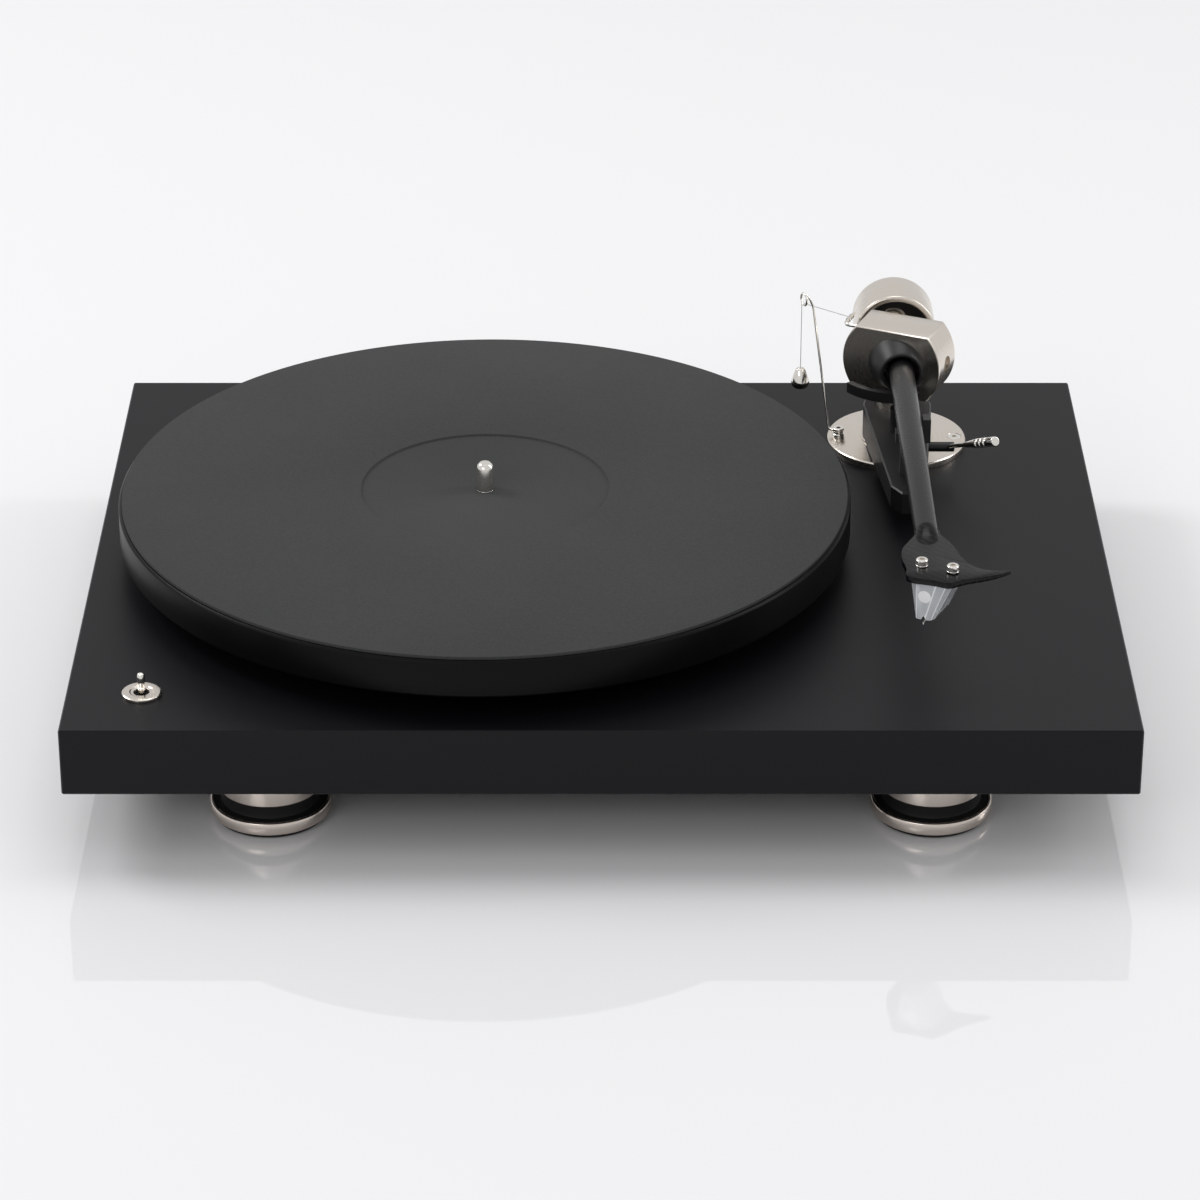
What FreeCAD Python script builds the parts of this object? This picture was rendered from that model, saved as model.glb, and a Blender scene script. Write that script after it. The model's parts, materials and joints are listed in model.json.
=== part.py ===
"""Belt-drive turntable with a nine-inch tonearm, built as separate pieces.

The model stands on Z = 0 with +Z up.  The operator's side is -Y and the origin lies under the
middle of the plinth.  Every size is a cell of the Sizes sheet, in millimetres or degrees, and
every sub-part is bound to those cells.
"""
import FreeCAD, Part

import os
import re

import Sketcher

SIZES = {
    # plinth
    "plinth_width": 415, "plinth_depth": 320, "plinth_thick": 28, "plinth_edge": 0.6,
    "skin_thick": 5, "pocket_clear": 2,
    # electronics bay under the left front, and its cover
    "bay_left": 22.5, "bay_front": 69, "bay_width": 123, "bay_depth": 61,
    "cover_lap": 4, "cover_thick": 1.5, "cover_corner": 8,
    # feet
    "foot_height": 28.3, "foot_spread": 130, "foot_front": 37, "foot_back": 40,
    "pad_radius": 22, "pad_thick": 1.9, "disc_radius": 24, "disc_thick": 5.8, "disc_rim": 1.3,
    "disc_recess": 0.8, "core_radius": 8, "damper_radius": 19.5, "damper_thick": 4.8,
    "collar_radius": 20.4, "collar_edge": 0.5, "stud_radius": 4, "stud_length": 18,
    # platter, sub-platter and main bearing
    "spindle_inset": 160, "platter_gap": 8.7, "platter_radius": 150, "platter_thick": 15.9,
    "platter_edge": 1, "mat_thick": 1.4, "mat_margin": 1.4, "label_radius": 51, "label_depth": 0.7,
    "spindle_radius": 3.6, "spindle_root": 4.2, "spindle_rise": 11, "spindle_tip": 1,
    "sub_radius": 62, "sub_gap": 2.5,
    "sub_seat": 3.3, "sub_margin": 1.5, "ring_inner": 116, "ring_width": 14, "ring_depth": 6,
    "shaft_radius": 5, "bush_wall": 1.5, "housing_wall": 2.5, "housing_flange": 18,
    "housing_flange_thick": 3, "housing_drop": 8, "housing_floor": 2.5,
    # motor and belt
    "motor_left": 72, "motor_front": 70, "motor_radius": 20, "motor_height": 16,
    "motor_boss": 6, "mount_length": 58, "mount_width": 30, "mount_thick": 2,
    "motor_shaft_radius": 1, "pulley_slow": 6.2, "pulley_fast": 8.4, "pulley_flange": 7.2,
    "pulley_lift": 0.8, "fast_step": 2.8, "slow_step": 3.6, "flange_step": 0.6,
    "belt_width": 2.9, "belt_thick": 0.8,
    # control board
    "board_left": 2, "board_front": 4, "board_width": 36, "board_depth": 56, "board_thick": 1.6,
    "board_post": 2.2, "board_lift": 5.5,
    # power switch
    "switch_left": 29.5, "switch_front": 29.5, "bezel_radius": 7.75, "bezel_thick": 1.5,
    "bezel_hole": 3.1, "switch_width": 13, "switch_depth": 9, "switch_height": 12,
    "neck_radius": 3, "neck_bore": 2.4, "toggle_rise": 9.4, "toggle_radius": 1.5, "toggle_root": 0.95,
    # terminals
    "box_left": 55, "box_width": 74, "box_depth": 30, "box_height": 18, "box_wall": 2,
    "box_back": 11, "socket_pitch": 18, "socket_first": 22, "socket_radius": 4.15,
    "socket_bore": 3.15, "socket_length": 8.5, "socket_flange": 5.6, "washer_radius": 6.4,
    "washer_thick": 1.5, "pin_bore": 1.65, "jack_radius": 4.2, "jack_bore": 2.85,
    "ground_radius": 2, "ground_knob": 5,
    # tonearm base
    "pivot_right": 175, "pivot_back": 97.8, "base_radius": 29.8, "base_thick": 3, "boss_radius": 15.7,
    "boss_height": 1.2, "base_screw_circle": 25, "pillar_radius": 9, "pillar_rise": 22,
    "pillar_bore": 5.5, "nut_radius": 15, "nut_thick": 4, "race_height": 3.5,
    "yaw_radius": 3, "bracket_top": 18, "bracket_wrap": 14.6, "bracket_nose": 7.2,
    "bracket_tip": 3, "bracket_reach": 80, "bracket_length": 87.3, "bracket_belly": 8.6,
    "bracket_edge": 0.6, "tower_radius": 4.8, "tower_rise": 10.5, "rod_radius": 1.5,
    "lift_radius": 26.1, "lift_width": 2.8, "lift_low": 30.9, "lift_height": 4.5,
    "lift_inward": 56, "lift_outward": 8, "rest_reach": 67.8, "rest_depth": 6, "rest_left": 5.2,
    "rest_right": 9.2, "rest_ear": 3.3, "rest_gap": 0.4, "rest_base": 4.4, "rest_ear_rise": 6.2,
    "hub_reach": 27.8, "hub_height": 11, "hub_radius": 2.1, "hub_end": 22.9, "hub_root": 7,
    "lever_side": 18, "lever_forward": 30.6, "lever_rise": 17, "lever_root": 19.4,
    "lever_rod": 0.95, "lever_grip": 2.1,
    # antiskate
    "post_radius": 2.5, "post_height": 4, "wire_radius": 0.5, "eye_radius": 2.6,
    "eye_left": 40.4, "eye_back": 14.2, "eye_rise": 61, "eye_turn": 25, "thread_radius": 0.2,
    "bob_top": 28.6, "bob_small": 2.4, "bob_large": 4, "bob_height": 8, "bob_band": 2,
    # bearing block, arm and counterweight
    "arm_rise": 41, "offset_angle": 24, "block_radius": 22, "block_thick": 19.5, "block_flat": 15,
    "block_edge": 0.7, "arm_bore": 7.5, "collar_base": 13.2, "collar_tip": 8.3,
    "collar_start": 4, "collar_reach": 18.5, "screw_recess": 3.5, "pitch_screw": 2.5,
    "arm_slope": 1.6, "tube_root": 5.4, "tube_end": 4.65, "tube_wall": 0.9, "tube_length": 178,
    "tube_back": 12, "stem_radius": 4, "stem_length": 50, "weight_radius": 17.5,
    "weight_length": 24, "weight_start": 23.8, "weight_rim": 2.7, "weight_recess": 17.4,
    "stub_radius": 0.8, "bend_swell": 1.25, "stub_rise": 48,
    # headshell and cartridge
    "shell_thick": 2.6, "shell_rise": 44.6, "mount_pitch": 12.7, "mount_reach": 210.1,
    "mount_side": 2.4, "mount_hole": 1.3, "cap_radius": 2.4, "cap_height": 2.4, "cap_socket": 1,
    "cart_width": 17.6, "cart_length": 19, "cart_height": 12, "cart_taper": 3, "bolt_depth": 2.6,
    "stylus_rise": 27.7,
    # fasteners and fits
    "screw_radius": 1.5, "head_radius": 2.9, "head_height": 1.8, "screw_length": 9,
    "run_clear": 0.05, "fit_clear": 0.1, "belt_clear": 0.3,
}

doc = FreeCAD.newDocument("turntable")
sheet = doc.addObject("Spreadsheet::Sheet", "Sizes")
for row, (alias, size) in enumerate(SIZES.items(), start=1):
    sheet.set(f"A{row}", alias)
    sheet.set(f"B{row}", str(size))
    sheet.setAlias(f"B{row}", alias)
doc.recompute()

# places that several pieces share, as expressions of the sheet's cells
DECK = "(foot_height + plinth_thick)"
LEFT = "(-plinth_width / 2)"
FRONT = "(-plinth_depth / 2)"
CEILING = f"({DECK} - skin_thick)"
SPINDLE_X = f"({LEFT} + spindle_inset)"
SPINDLE_Y = f"({FRONT} + spindle_inset)"
PLATTER_LOW = f"({DECK} + platter_gap)"
PLATTER_TOP = f"({PLATTER_LOW} + platter_thick)"
MAT_TOP = f"({PLATTER_TOP} + mat_thick)"
SUB_TOP = f"({PLATTER_LOW} + sub_seat)"
MOTOR_X = f"({SPINDLE_X} - motor_left)"
MOTOR_Y = f"({SPINDLE_Y} - motor_front)"
BAY_X = f"({LEFT} + bay_left)"
BAY_Y = f"({FRONT} + bay_front)"
SWITCH_X = f"({LEFT} + switch_left)"
SWITCH_Y = f"({FRONT} + switch_front)"
PIVOT_X = f"({SPINDLE_X} + pivot_right)"
PIVOT_Y = f"({SPINDLE_Y} + pivot_back)"
PIVOT_Z = f"({DECK} + arm_rise)"
BOX_Y = "(plinth_depth / 2 - box_back - box_depth)"
BOX_FACE = "(plinth_depth / 2 - box_back)"
BOX_Z = "(foot_height - box_height)"
SOCKET_Z = "(foot_height - box_height / 2)"
FEET = {
    "front_left": ("(-foot_spread)", f"({FRONT} + foot_front)"),
    "front_right": ("foot_spread", f"({FRONT} + foot_front)"),
    "rear": ("0", "(plinth_depth / 2 - foot_back)"),
}

UP = FreeCAD.Rotation()
ALONG_X = FreeCAD.Rotation(FreeCAD.Vector(0, 1, 0), 90)
ALONG_Y = FreeCAD.Rotation(FreeCAD.Vector(1, 0, 0), -90)
TOWARDS_FRONT = FreeCAD.Rotation(FreeCAD.Vector(1, 0, 0), 90)
WORD = re.compile(r"[a-z]+(?:_[a-z]+)*")
subparts = []


def bound(text):
    """Give each cell name in an expression the name of its sheet."""
    def name(match):
        word = match.group()
        return f"Sizes.{word}" if word in SIZES else word
    return WORD.sub(name, str(text))


def number(text):
    """The present value of an expression."""
    answer = sheet.evalExpression(bound(text))
    return float(getattr(answer, "Value", answer))


def bind(thing, **expressions):
    """Bind properties of a feature to expressions of the sheet."""
    for name, text in expressions.items():
        thing.setExpression(name, bound(text))
    return thing


def place(thing, x="0", y="0", z="0", turn=UP):
    """Turn a piece and bind its place to expressions."""
    thing.Placement = FreeCAD.Placement(FreeCAD.Vector(), turn)
    for axis, text in (("x", x), ("y", y), ("z", z)):
        thing.setExpression(f"Placement.Base.{axis}", bound(text))
    return thing


def keep(thing, label):
    """Name a finished sub-part, which is then written to a file of that name."""
    thing.Label = label
    subparts.append(thing)
    return thing


def cylinder(radius, height, x="0", y="0", z="0", turn=UP):
    """A cylinder that stands on its place."""
    piece = bind(doc.addObject("Part::Cylinder", "cylinder"), Radius=radius, Height=height)
    return place(piece, x, y, z, turn)


def cone(low, high, height, x="0", y="0", z="0", turn=UP):
    """A cone from its low radius to its high one."""
    piece = bind(doc.addObject("Part::Cone", "cone"), Radius1=low, Radius2=high, Height=height)
    return place(piece, x, y, z, turn)


def box(length, width, height, x="0", y="0", z="0", turn=UP):
    """A box from its low corner."""
    piece = doc.addObject("Part::Box", "box")
    bind(piece, Length=length, Width=width, Height=height)
    return place(piece, x, y, z, turn)


def cut(base, *tools):
    """The base with every tool taken away."""
    for tool in tools:
        piece = doc.addObject("Part::Cut", "cut")
        piece.Base = base
        piece.Tool = tool
        base = piece
    return base


def join(first, *others):
    """Several touching solids as one."""
    for other in others:
        piece = doc.addObject("Part::Fuse", "fuse")
        piece.Base = first
        piece.Tool = other
        first = piece
    return first


def common(first, second):
    """What two solids share."""
    piece = doc.addObject("Part::Common", "common")
    piece.Base = first
    piece.Tool = second
    return piece


def group(pieces):
    """Identical separate solids that share a node."""
    piece = doc.addObject("Part::Compound", "group")
    piece.Links = pieces
    return piece


def sketch_on(body, role):
    """A sketch on one of the body's own origin planes."""
    plane = next(item for item in body.Origin.OriginFeatures if item.Role == role)
    sketch = body.newObject("Sketcher::SketchObject", "outline")
    sketch.AttachmentSupport = [(plane, "")]
    sketch.MapMode = "FlatFace"
    return sketch


def fix(sketch, kind, geometry, point, text):
    """Hold one coordinate of a sketch point at an expression."""
    index = sketch.addConstraint(Sketcher.Constraint(kind, -1, 1, geometry, point, number(text)))
    sketch.setExpression(f"Constraints[{index}]", bound(text))


def draw(sketch, corners):
    """A closed outline of straight sides through bound corners."""
    spots = [FreeCAD.Vector(number(x), number(y), 0) for x, y in corners]
    count = len(spots)
    for side in range(count):
        sketch.addGeometry(Part.LineSegment(spots[side], spots[(side + 1) % count]), False)
    for side in range(count):
        sketch.addConstraint(Sketcher.Constraint("Coincident", side, 2, (side + 1) % count, 1))
    for side, (x, y) in enumerate(corners):
        fix(sketch, "DistanceX", side, 1, x)
        fix(sketch, "DistanceY", side, 1, y)


def turned(corners, x="0", y="0", z="0", turn=UP):
    """A body turned about its own axis from (radius, height) corners."""
    body = doc.addObject("PartDesign::Body", "turned")
    sketch = sketch_on(body, "XZ_Plane")
    draw(sketch, corners)
    feature = body.newObject("PartDesign::Revolution", "turning")
    feature.Profile = sketch
    feature.ReferenceAxis = (sketch, ["V_Axis"])
    feature.Angle = 360
    return place(body, x, y, z, turn)


def padded(corners, thick, x="0", y="0", z="0", role="XY_Plane", turn=UP):
    """A body padded from an outline, away from its plane."""
    body = doc.addObject("PartDesign::Body", "padded")
    sketch = sketch_on(body, role)
    draw(sketch, corners)
    feature = bind(body.newObject("PartDesign::Pad", "pad"), Length=thick)
    feature.Profile = sketch
    return place(body, x, y, z, turn)


def edges(thing, test):
    """The names of the edges of a recomputed piece that pass a test."""
    doc.recompute()
    return [f"Edge{index}" for index, edge in enumerate(thing.Shape.Edges, start=1) if test(edge)]


def bevel(body, size, test):
    """Chamfer a body's edges that pass a test."""
    names = edges(body, test)
    feature = body.newObject("PartDesign::Chamfer", "bevel")
    feature.Base = (body.Group[-2], names)
    return bind(feature, Size=size)


def rounded(body, size, test):
    """Fillet a body's edges that pass a test."""
    names = edges(body, test)
    feature = body.newObject("PartDesign::Fillet", "fillet")
    feature.Base = (body.Group[-2], names)
    return bind(feature, Radius=size)


def upright(edge):
    """Whether an edge runs straight up."""
    span = edge.BoundBox
    return span.ZLength > 1e-3 and span.XLength < 1e-3 and span.YLength < 1e-3


def screw(x, y, z, turn=UP):
    """A pan-head screw whose head hangs under its place and whose shank rises from it."""
    corners = [("0", "(-head_height)"), ("head_radius * 0.8", "(-head_height)"),
               ("head_radius", "(-head_height * 0.6)"), ("head_radius", "0"),
               ("screw_radius", "0"), ("screw_radius", "screw_length"), ("0", "screw_length")]
    return turned(corners, x, y, z, turn)


def screw_hole(x, y, z):
    """The pilot hole that a screw goes up into."""
    return cylinder("screw_radius + fit_clear", "screw_length + 1", x, y, f"{z} - 0.5")


# ------------------------------------------------------------------ feet
def foot(name, x, y):
    """One foot: rubber core with pad and damper, lower disc, and collar with its stud."""
    disc_low = "pad_thick"
    disc_top = "(pad_thick + disc_thick)"
    recess = f"({disc_top} - disc_recess)"
    damper_top = f"({disc_top} + damper_thick)"
    inner = "(disc_radius - disc_rim)"
    rubber = turned([("0", "0"), ("pad_radius", "0"), ("pad_radius", disc_low),
                     ("core_radius", disc_low), ("core_radius", recess),
                     (f"{inner} - fit_clear", recess), (f"{inner} - fit_clear", f"{disc_top} - 0.1"),
                     ("damper_radius", f"{disc_top} - 0.1"), ("damper_radius", damper_top),
                     ("0", damper_top)], x, y)
    disc = turned([("core_radius + run_clear", disc_low), ("disc_radius - 0.8", disc_low),
                   ("disc_radius", f"{disc_low} + 0.8"), ("disc_radius", f"{disc_top} - 0.4"),
                   ("disc_radius - 0.4", disc_top), (inner, disc_top), (inner, recess),
                   ("core_radius + run_clear", recess)], x, y)
    collar = turned([("0", damper_top), ("collar_radius - collar_edge", damper_top),
                     ("collar_radius", f"{damper_top} + collar_edge"),
                     ("collar_radius", "foot_height - collar_edge"),
                     ("collar_radius - collar_edge", "foot_height"), ("stud_radius", "foot_height"),
                     ("stud_radius", "foot_height + stud_length"),
                     ("0", "foot_height + stud_length")], x, y)
    keep(rubber, f"foot_rubber_{name}")
    keep(disc, f"foot_disc_{name}")
    keep(collar, f"foot_collar_{name}")


for foot_name, (foot_x, foot_y) in FEET.items():
    foot(foot_name, foot_x, foot_y)


# ------------------------------------------------------------------ plinth and its underside
def bay_screw_places():
    """Where the cover's four screws go, in the lap around the bay."""
    low_x, high_x = f"{BAY_X} + 1", f"{BAY_X} + bay_width - 1"
    rows = f"{BAY_Y} - cover_lap * 1.6", f"{BAY_Y} + bay_depth + cover_lap * 1.6"
    return [(f"{x} {shift}", y) for y in rows for x, shift in ((low_x, "+ 6"), (high_x, "- 6"))]


def housing_screw_places():
    """Three places round the bearing housing's flange."""
    reach = "(housing_flange - 4)"
    return [(f"{SPINDLE_X} + {reach} * cos({angle} deg)", f"{SPINDLE_Y} + {reach} * sin({angle} deg)")
            for angle in (90, 210, 330)]


def box_screw_places():
    """Two places in the terminal box's ears."""
    middle = f"{BOX_Y} + box_depth / 2"
    return [("box_left - 4.5", middle), ("box_left + box_width + 4.5", middle)]


def base_places(angles):
    """Places on the tonearm base's screw circle."""
    return [(f"{PIVOT_X} + base_screw_circle * cos({angle} deg)",
             f"{PIVOT_Y} + base_screw_circle * sin({angle} deg)") for angle in angles]


BASE_SCREWS = (0, 90, 270)
POST_ANGLE = 180
HOUSING_RADIUS = "(shaft_radius + bush_wall + housing_wall)"

plinth = padded([(LEFT, FRONT), ("plinth_width / 2", FRONT), ("plinth_width / 2", "plinth_depth / 2"),
                 (LEFT, "plinth_depth / 2")], "plinth_thick", z="foot_height")
bevel(plinth, "plinth_edge", lambda edge: True)
pockets = [
    box("bay_width", "bay_depth", f"{CEILING} - foot_height + 1", BAY_X, BAY_Y, "foot_height - 1"),
    box("switch_width + 2 * pocket_clear", "switch_depth + 2 * pocket_clear",
        f"{CEILING} - foot_height + 1", f"{SWITCH_X} - switch_width / 2 - pocket_clear",
        f"{SWITCH_Y} - switch_depth / 2 - pocket_clear", "foot_height - 1"),
    box("6", f"{BAY_Y} - {SWITCH_Y} + 2", "8", f"{SWITCH_X} - 3", SWITCH_Y, "foot_height - 1"),
    cylinder("neck_radius + fit_clear", "skin_thick + 2", SWITCH_X, SWITCH_Y, f"{CEILING} - 1"),
    cylinder("motor_boss + 0.5", "skin_thick + 2", MOTOR_X, MOTOR_Y, f"{CEILING} - 1"),
    cylinder(f"{HOUSING_RADIUS} + fit_clear", "plinth_thick + 2", SPINDLE_X, SPINDLE_Y,
             "foot_height - 1"),
    cylinder("pillar_radius + fit_clear", "plinth_thick + 2", PIVOT_X, PIVOT_Y, "foot_height - 1"),
]
pockets += [cylinder("stud_radius + 0.08", "stud_length + 1.5", x, y, "foot_height - 1")
            for x, y in FEET.values()]
pockets += [screw_hole(x, y, "foot_height") for x, y in
            bay_screw_places() + housing_screw_places() + box_screw_places()]
pockets += [cylinder("screw_radius + fit_clear", "screw_length + 2", x, y, f"{DECK} - screw_length - 1")
            for x, y in base_places(BASE_SCREWS + (POST_ANGLE,))]
keep(cut(plinth, *pockets), "plinth")

cover = padded([(f"{BAY_X} - cover_lap", f"{BAY_Y} - cover_lap * 2.6"),
                (f"{BAY_X} + bay_width + cover_lap", f"{BAY_Y} - cover_lap * 2.6"),
                (f"{BAY_X} + bay_width + cover_lap", f"{BAY_Y} + bay_depth + cover_lap * 2.6"),
                (f"{BAY_X} - cover_lap", f"{BAY_Y} + bay_depth + cover_lap * 2.6")],
               "cover_thick", z="foot_height - cover_thick")
rounded(cover, "cover_corner", upright)
cover_holes = [cylinder("screw_radius + fit_clear", "cover_thick + 2", x, y,
                        "foot_height - cover_thick - 1") for x, y in bay_screw_places()]
keep(cut(cover, *cover_holes), "underside_cover")

EAR = "3"
heads = [(place_xy, "cover_thick") for place_xy in bay_screw_places()]
heads += [(place_xy, "housing_flange_thick") for place_xy in housing_screw_places()]
heads += [(place_xy, EAR) for place_xy in box_screw_places()]
keep(group([screw(x, y, f"foot_height - {under}") for (x, y), under in heads]), "underside_screws")

# ------------------------------------------------------------------ main bearing and platter
flange_low = "(foot_height - housing_flange_thick)"
housing_low = f"({flange_low} - housing_drop)"
bore_low = f"({housing_low} + housing_floor)"
bush_radius = "(shaft_radius + bush_wall)"
housing = turned([("0", housing_low), (HOUSING_RADIUS, housing_low), (HOUSING_RADIUS, flange_low),
                  ("housing_flange", flange_low), ("housing_flange", "foot_height"),
                  (HOUSING_RADIUS, "foot_height"), (HOUSING_RADIUS, f"{DECK} - 1"),
                  (f"{bush_radius} + run_clear", f"{DECK} - 1"),
                  (f"{bush_radius} + run_clear", bore_low), ("0", bore_low)], SPINDLE_X, SPINDLE_Y)
flange_holes = [cylinder("screw_radius + fit_clear", "housing_flange_thick + 2", x, y,
                         f"{flange_low} - 1") for x, y in housing_screw_places()]
keep(cut(housing, *flange_holes), "bearing_housing")
keep(turned([("shaft_radius + run_clear", f"{bore_low} + 0.5"), (bush_radius, f"{bore_low} + 0.5"),
             (bush_radius, f"{DECK} - 1"), ("shaft_radius + run_clear", f"{DECK} - 1")],
            SPINDLE_X, SPINDLE_Y), "bearing_bush")

spindle_top = f"({MAT_TOP} + spindle_rise)"
keep(turned([("0", f"{bore_low} + 0.05"), ("2", f"{bore_low} + 0.05"), ("shaft_radius", f"{bore_low} + 2"),
             ("shaft_radius", SUB_TOP), ("spindle_root", SUB_TOP),
             ("spindle_root", f"{MAT_TOP} - label_depth"), ("spindle_radius", f"{MAT_TOP} - label_depth"),
             ("spindle_radius", f"{spindle_top} - spindle_tip"),
             ("spindle_radius - spindle_tip", spindle_top), ("0", spindle_top)],
            SPINDLE_X, SPINDLE_Y), "spindle")
keep(turned([("shaft_radius + run_clear", f"{DECK} + sub_gap"), ("sub_radius", f"{DECK} + sub_gap"),
             ("sub_radius", SUB_TOP), ("shaft_radius + run_clear", SUB_TOP)],
            SPINDLE_X, SPINDLE_Y), "sub_platter")
bore = "(spindle_root + fit_clear)"
seat = "(sub_radius + sub_margin)"
ring_outer = "(ring_inner + ring_width)"
keep(turned([(bore, SUB_TOP), (seat, SUB_TOP), (seat, PLATTER_LOW), ("ring_inner", PLATTER_LOW),
             ("ring_inner", f"{PLATTER_LOW} + ring_depth"), (ring_outer, f"{PLATTER_LOW} + ring_depth"),
             (ring_outer, PLATTER_LOW), ("platter_radius - platter_edge", PLATTER_LOW),
             ("platter_radius", f"{PLATTER_LOW} + platter_edge"),
             ("platter_radius", f"{PLATTER_TOP} - platter_edge"),
             ("platter_radius - platter_edge", PLATTER_TOP), (bore, PLATTER_TOP)],
            SPINDLE_X, SPINDLE_Y), "platter")
keep(turned([("ring_inner + fit_clear", PLATTER_LOW), (f"{ring_outer} - fit_clear", PLATTER_LOW),
             (f"{ring_outer} - fit_clear", f"{PLATTER_LOW} + ring_depth"),
             ("ring_inner + fit_clear", f"{PLATTER_LOW} + ring_depth")],
            SPINDLE_X, SPINDLE_Y), "platter_damping_ring")
mat_radius = "(platter_radius - mat_margin)"
keep(turned([(bore, PLATTER_TOP), (mat_radius, PLATTER_TOP), (mat_radius, f"{MAT_TOP} - 0.3"),
             (f"{mat_radius} - 0.3", MAT_TOP), ("label_radius", MAT_TOP),
             ("label_radius", f"{MAT_TOP} - label_depth"), (bore, f"{MAT_TOP} - label_depth")],
            SPINDLE_X, SPINDLE_Y), "platter_mat")

# ------------------------------------------------------------------ motor, pulley and belt
mount_low = f"({CEILING} - mount_thick)"
mount_holes = [cylinder("motor_boss + 0.3", "mount_thick + 2", MOTOR_X, MOTOR_Y, f"{mount_low} - 1")]
mount = padded([(f"{MOTOR_X} - mount_length / 2", f"{MOTOR_Y} - mount_width / 2"),
                (f"{MOTOR_X} + mount_length / 2", f"{MOTOR_Y} - mount_width / 2"),
                (f"{MOTOR_X} + mount_length / 2", f"{MOTOR_Y} + mount_width / 2"),
                (f"{MOTOR_X} - mount_length / 2", f"{MOTOR_Y} + mount_width / 2")],
               "mount_thick", z=mount_low)
rounded(mount, "3", upright)
keep(cut(mount, *mount_holes), "motor_mount")
can_low = f"({mount_low} - motor_height)"
boss_top = f"({CEILING} - 0.3)"
shaft_low = f"({can_low} + 6)"
shaft_bore = "(motor_shaft_radius + run_clear)"
keep(turned([("0", can_low), ("motor_radius - 1", can_low), ("motor_radius", f"{can_low} + 1"),
             ("motor_radius", mount_low), ("motor_boss", mount_low), ("motor_boss", boss_top),
             (shaft_bore, boss_top), (shaft_bore, shaft_low), ("0", shaft_low)],
            MOTOR_X, MOTOR_Y), "motor_body")

pulley_low = f"({DECK} + pulley_lift)"
fast_top = f"({pulley_low} + fast_step)"
slow_top = f"({fast_top} + slow_step)"
pulley_top = f"({slow_top} + flange_step)"
keep(cylinder("motor_shaft_radius", f"{pulley_top} - {shaft_low} - 0.1", MOTOR_X, MOTOR_Y,
              f"{shaft_low} + 0.1"), "motor_shaft")
keep(turned([(shaft_bore, pulley_low), ("pulley_fast", pulley_low), ("pulley_fast", fast_top),
             ("pulley_slow", fast_top), ("pulley_slow", slow_top), ("pulley_flange", slow_top),
             ("pulley_flange", pulley_top), (shaft_bore, pulley_top)], MOTOR_X, MOTOR_Y),
     "motor_pulley")


def belt_loop(grow, low, height):
    """A solid between the two wheels' common tangents, larger than the wheels by a margin."""
    wheel = f"(sub_radius + {grow})"
    small = f"(pulley_slow + {grow})"
    span = "sqrt(motor_left ^ 2 + motor_front ^ 2)"
    lean = f"asin(({wheel} - {small}) / {span})"
    facing = "atan2(motor_front; motor_left)"
    corners = []
    for radius, away, sides in ((wheel, "0", (1, -1)), (small, span, (-1, 1))):
        for side in sides:
            angle = f"({side} * (90 deg - {lean}))"
            corners.append((f"-({away}) + {radius} * (-cos{angle})", f"{radius} * sin{angle}"))
    web = padded(corners, height, SPINDLE_X, SPINDLE_Y, low,
                 turn=FreeCAD.Rotation(FreeCAD.Vector(0, 0, 1), number(f"{facing} / 1 deg")))
    web.setExpression("Placement.Rotation.Angle", bound(facing))
    return join(web, cylinder(wheel, height, SPINDLE_X, SPINDLE_Y, low),
                cylinder(small, height, MOTOR_X, MOTOR_Y, low))


belt_low = f"({fast_top} + 0.35)"
keep(cut(belt_loop("belt_clear + belt_thick", belt_low, "belt_width"),
         belt_loop("belt_clear", f"{belt_low} - 1", "belt_width + 2")), "drive_belt")

# ------------------------------------------------------------------ control board and switch
board_x = f"({BAY_X} + board_left)"
board_y = f"({BAY_Y} + board_front)"
board_z = "(foot_height + board_lift)"
board = [box("board_width", "board_depth", "board_thick", board_x, board_y, board_z)]
for across in (0, 1):
    for along in (0, 1):
        board.append(cylinder("board_post", "board_lift + board_thick / 2",
                              f"{board_x} + 4 + {across} * (board_width - 8)",
                              f"{board_y} + 4 + {along} * (board_depth - 8)", "foot_height"))
chip_z = f"({board_z} + board_thick / 2)"
board += [box("12", "12", "2.4", f"{board_x} + 12", f"{board_y} + 20", chip_z),
          box("9", "12", "7", f"{board_x} + 3", f"{board_y} + 38", chip_z),
          box("10", "6", "5", f"{board_x} + 22", f"{board_y} + 4", chip_z),
          cylinder("4", "9", f"{board_x} + 26", f"{board_y} + 42", chip_z),
          cylinder("3", "8", f"{board_x} + 8", f"{board_y} + 12", chip_z)]
keep(join(*board), "control_board")

neck_low = f"({CEILING} - 0.5)"
neck_top = f"({DECK} - 0.4)"
toggle_pivot = f"({DECK} - 2.2)"
switch_case = box("switch_width", "switch_depth", "switch_height", f"{SWITCH_X} - switch_width / 2",
                  f"{SWITCH_Y} - switch_depth / 2", f"{CEILING} - switch_height")
tags = [box("0.8", "3", "5", f"{SWITCH_X} + {shift} - 0.4", f"{SWITCH_Y} - 1.5",
            f"{CEILING} - switch_height - 4") for shift in (-4.5, 0, 4.5)]
keep(cut(join(switch_case, cylinder("neck_radius", f"{neck_top} - {neck_low}", SWITCH_X, SWITCH_Y,
                                    neck_low), *tags),
         cylinder("neck_bore", f"{neck_top} - {neck_low}", SWITCH_X, SWITCH_Y, f"{neck_low} + 0.1")),
     "switch_body")
keep(turned([("bezel_hole", DECK), ("bezel_radius", DECK), ("bezel_radius", f"{DECK} + bezel_thick - 0.3"),
             ("bezel_radius - 0.3", f"{DECK} + bezel_thick"),
             ("bezel_hole + 0.4", f"{DECK} + bezel_thick"), ("bezel_hole", f"{DECK} + bezel_thick - 0.4")],
            SWITCH_X, SWITCH_Y), "switch_bezel")
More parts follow.
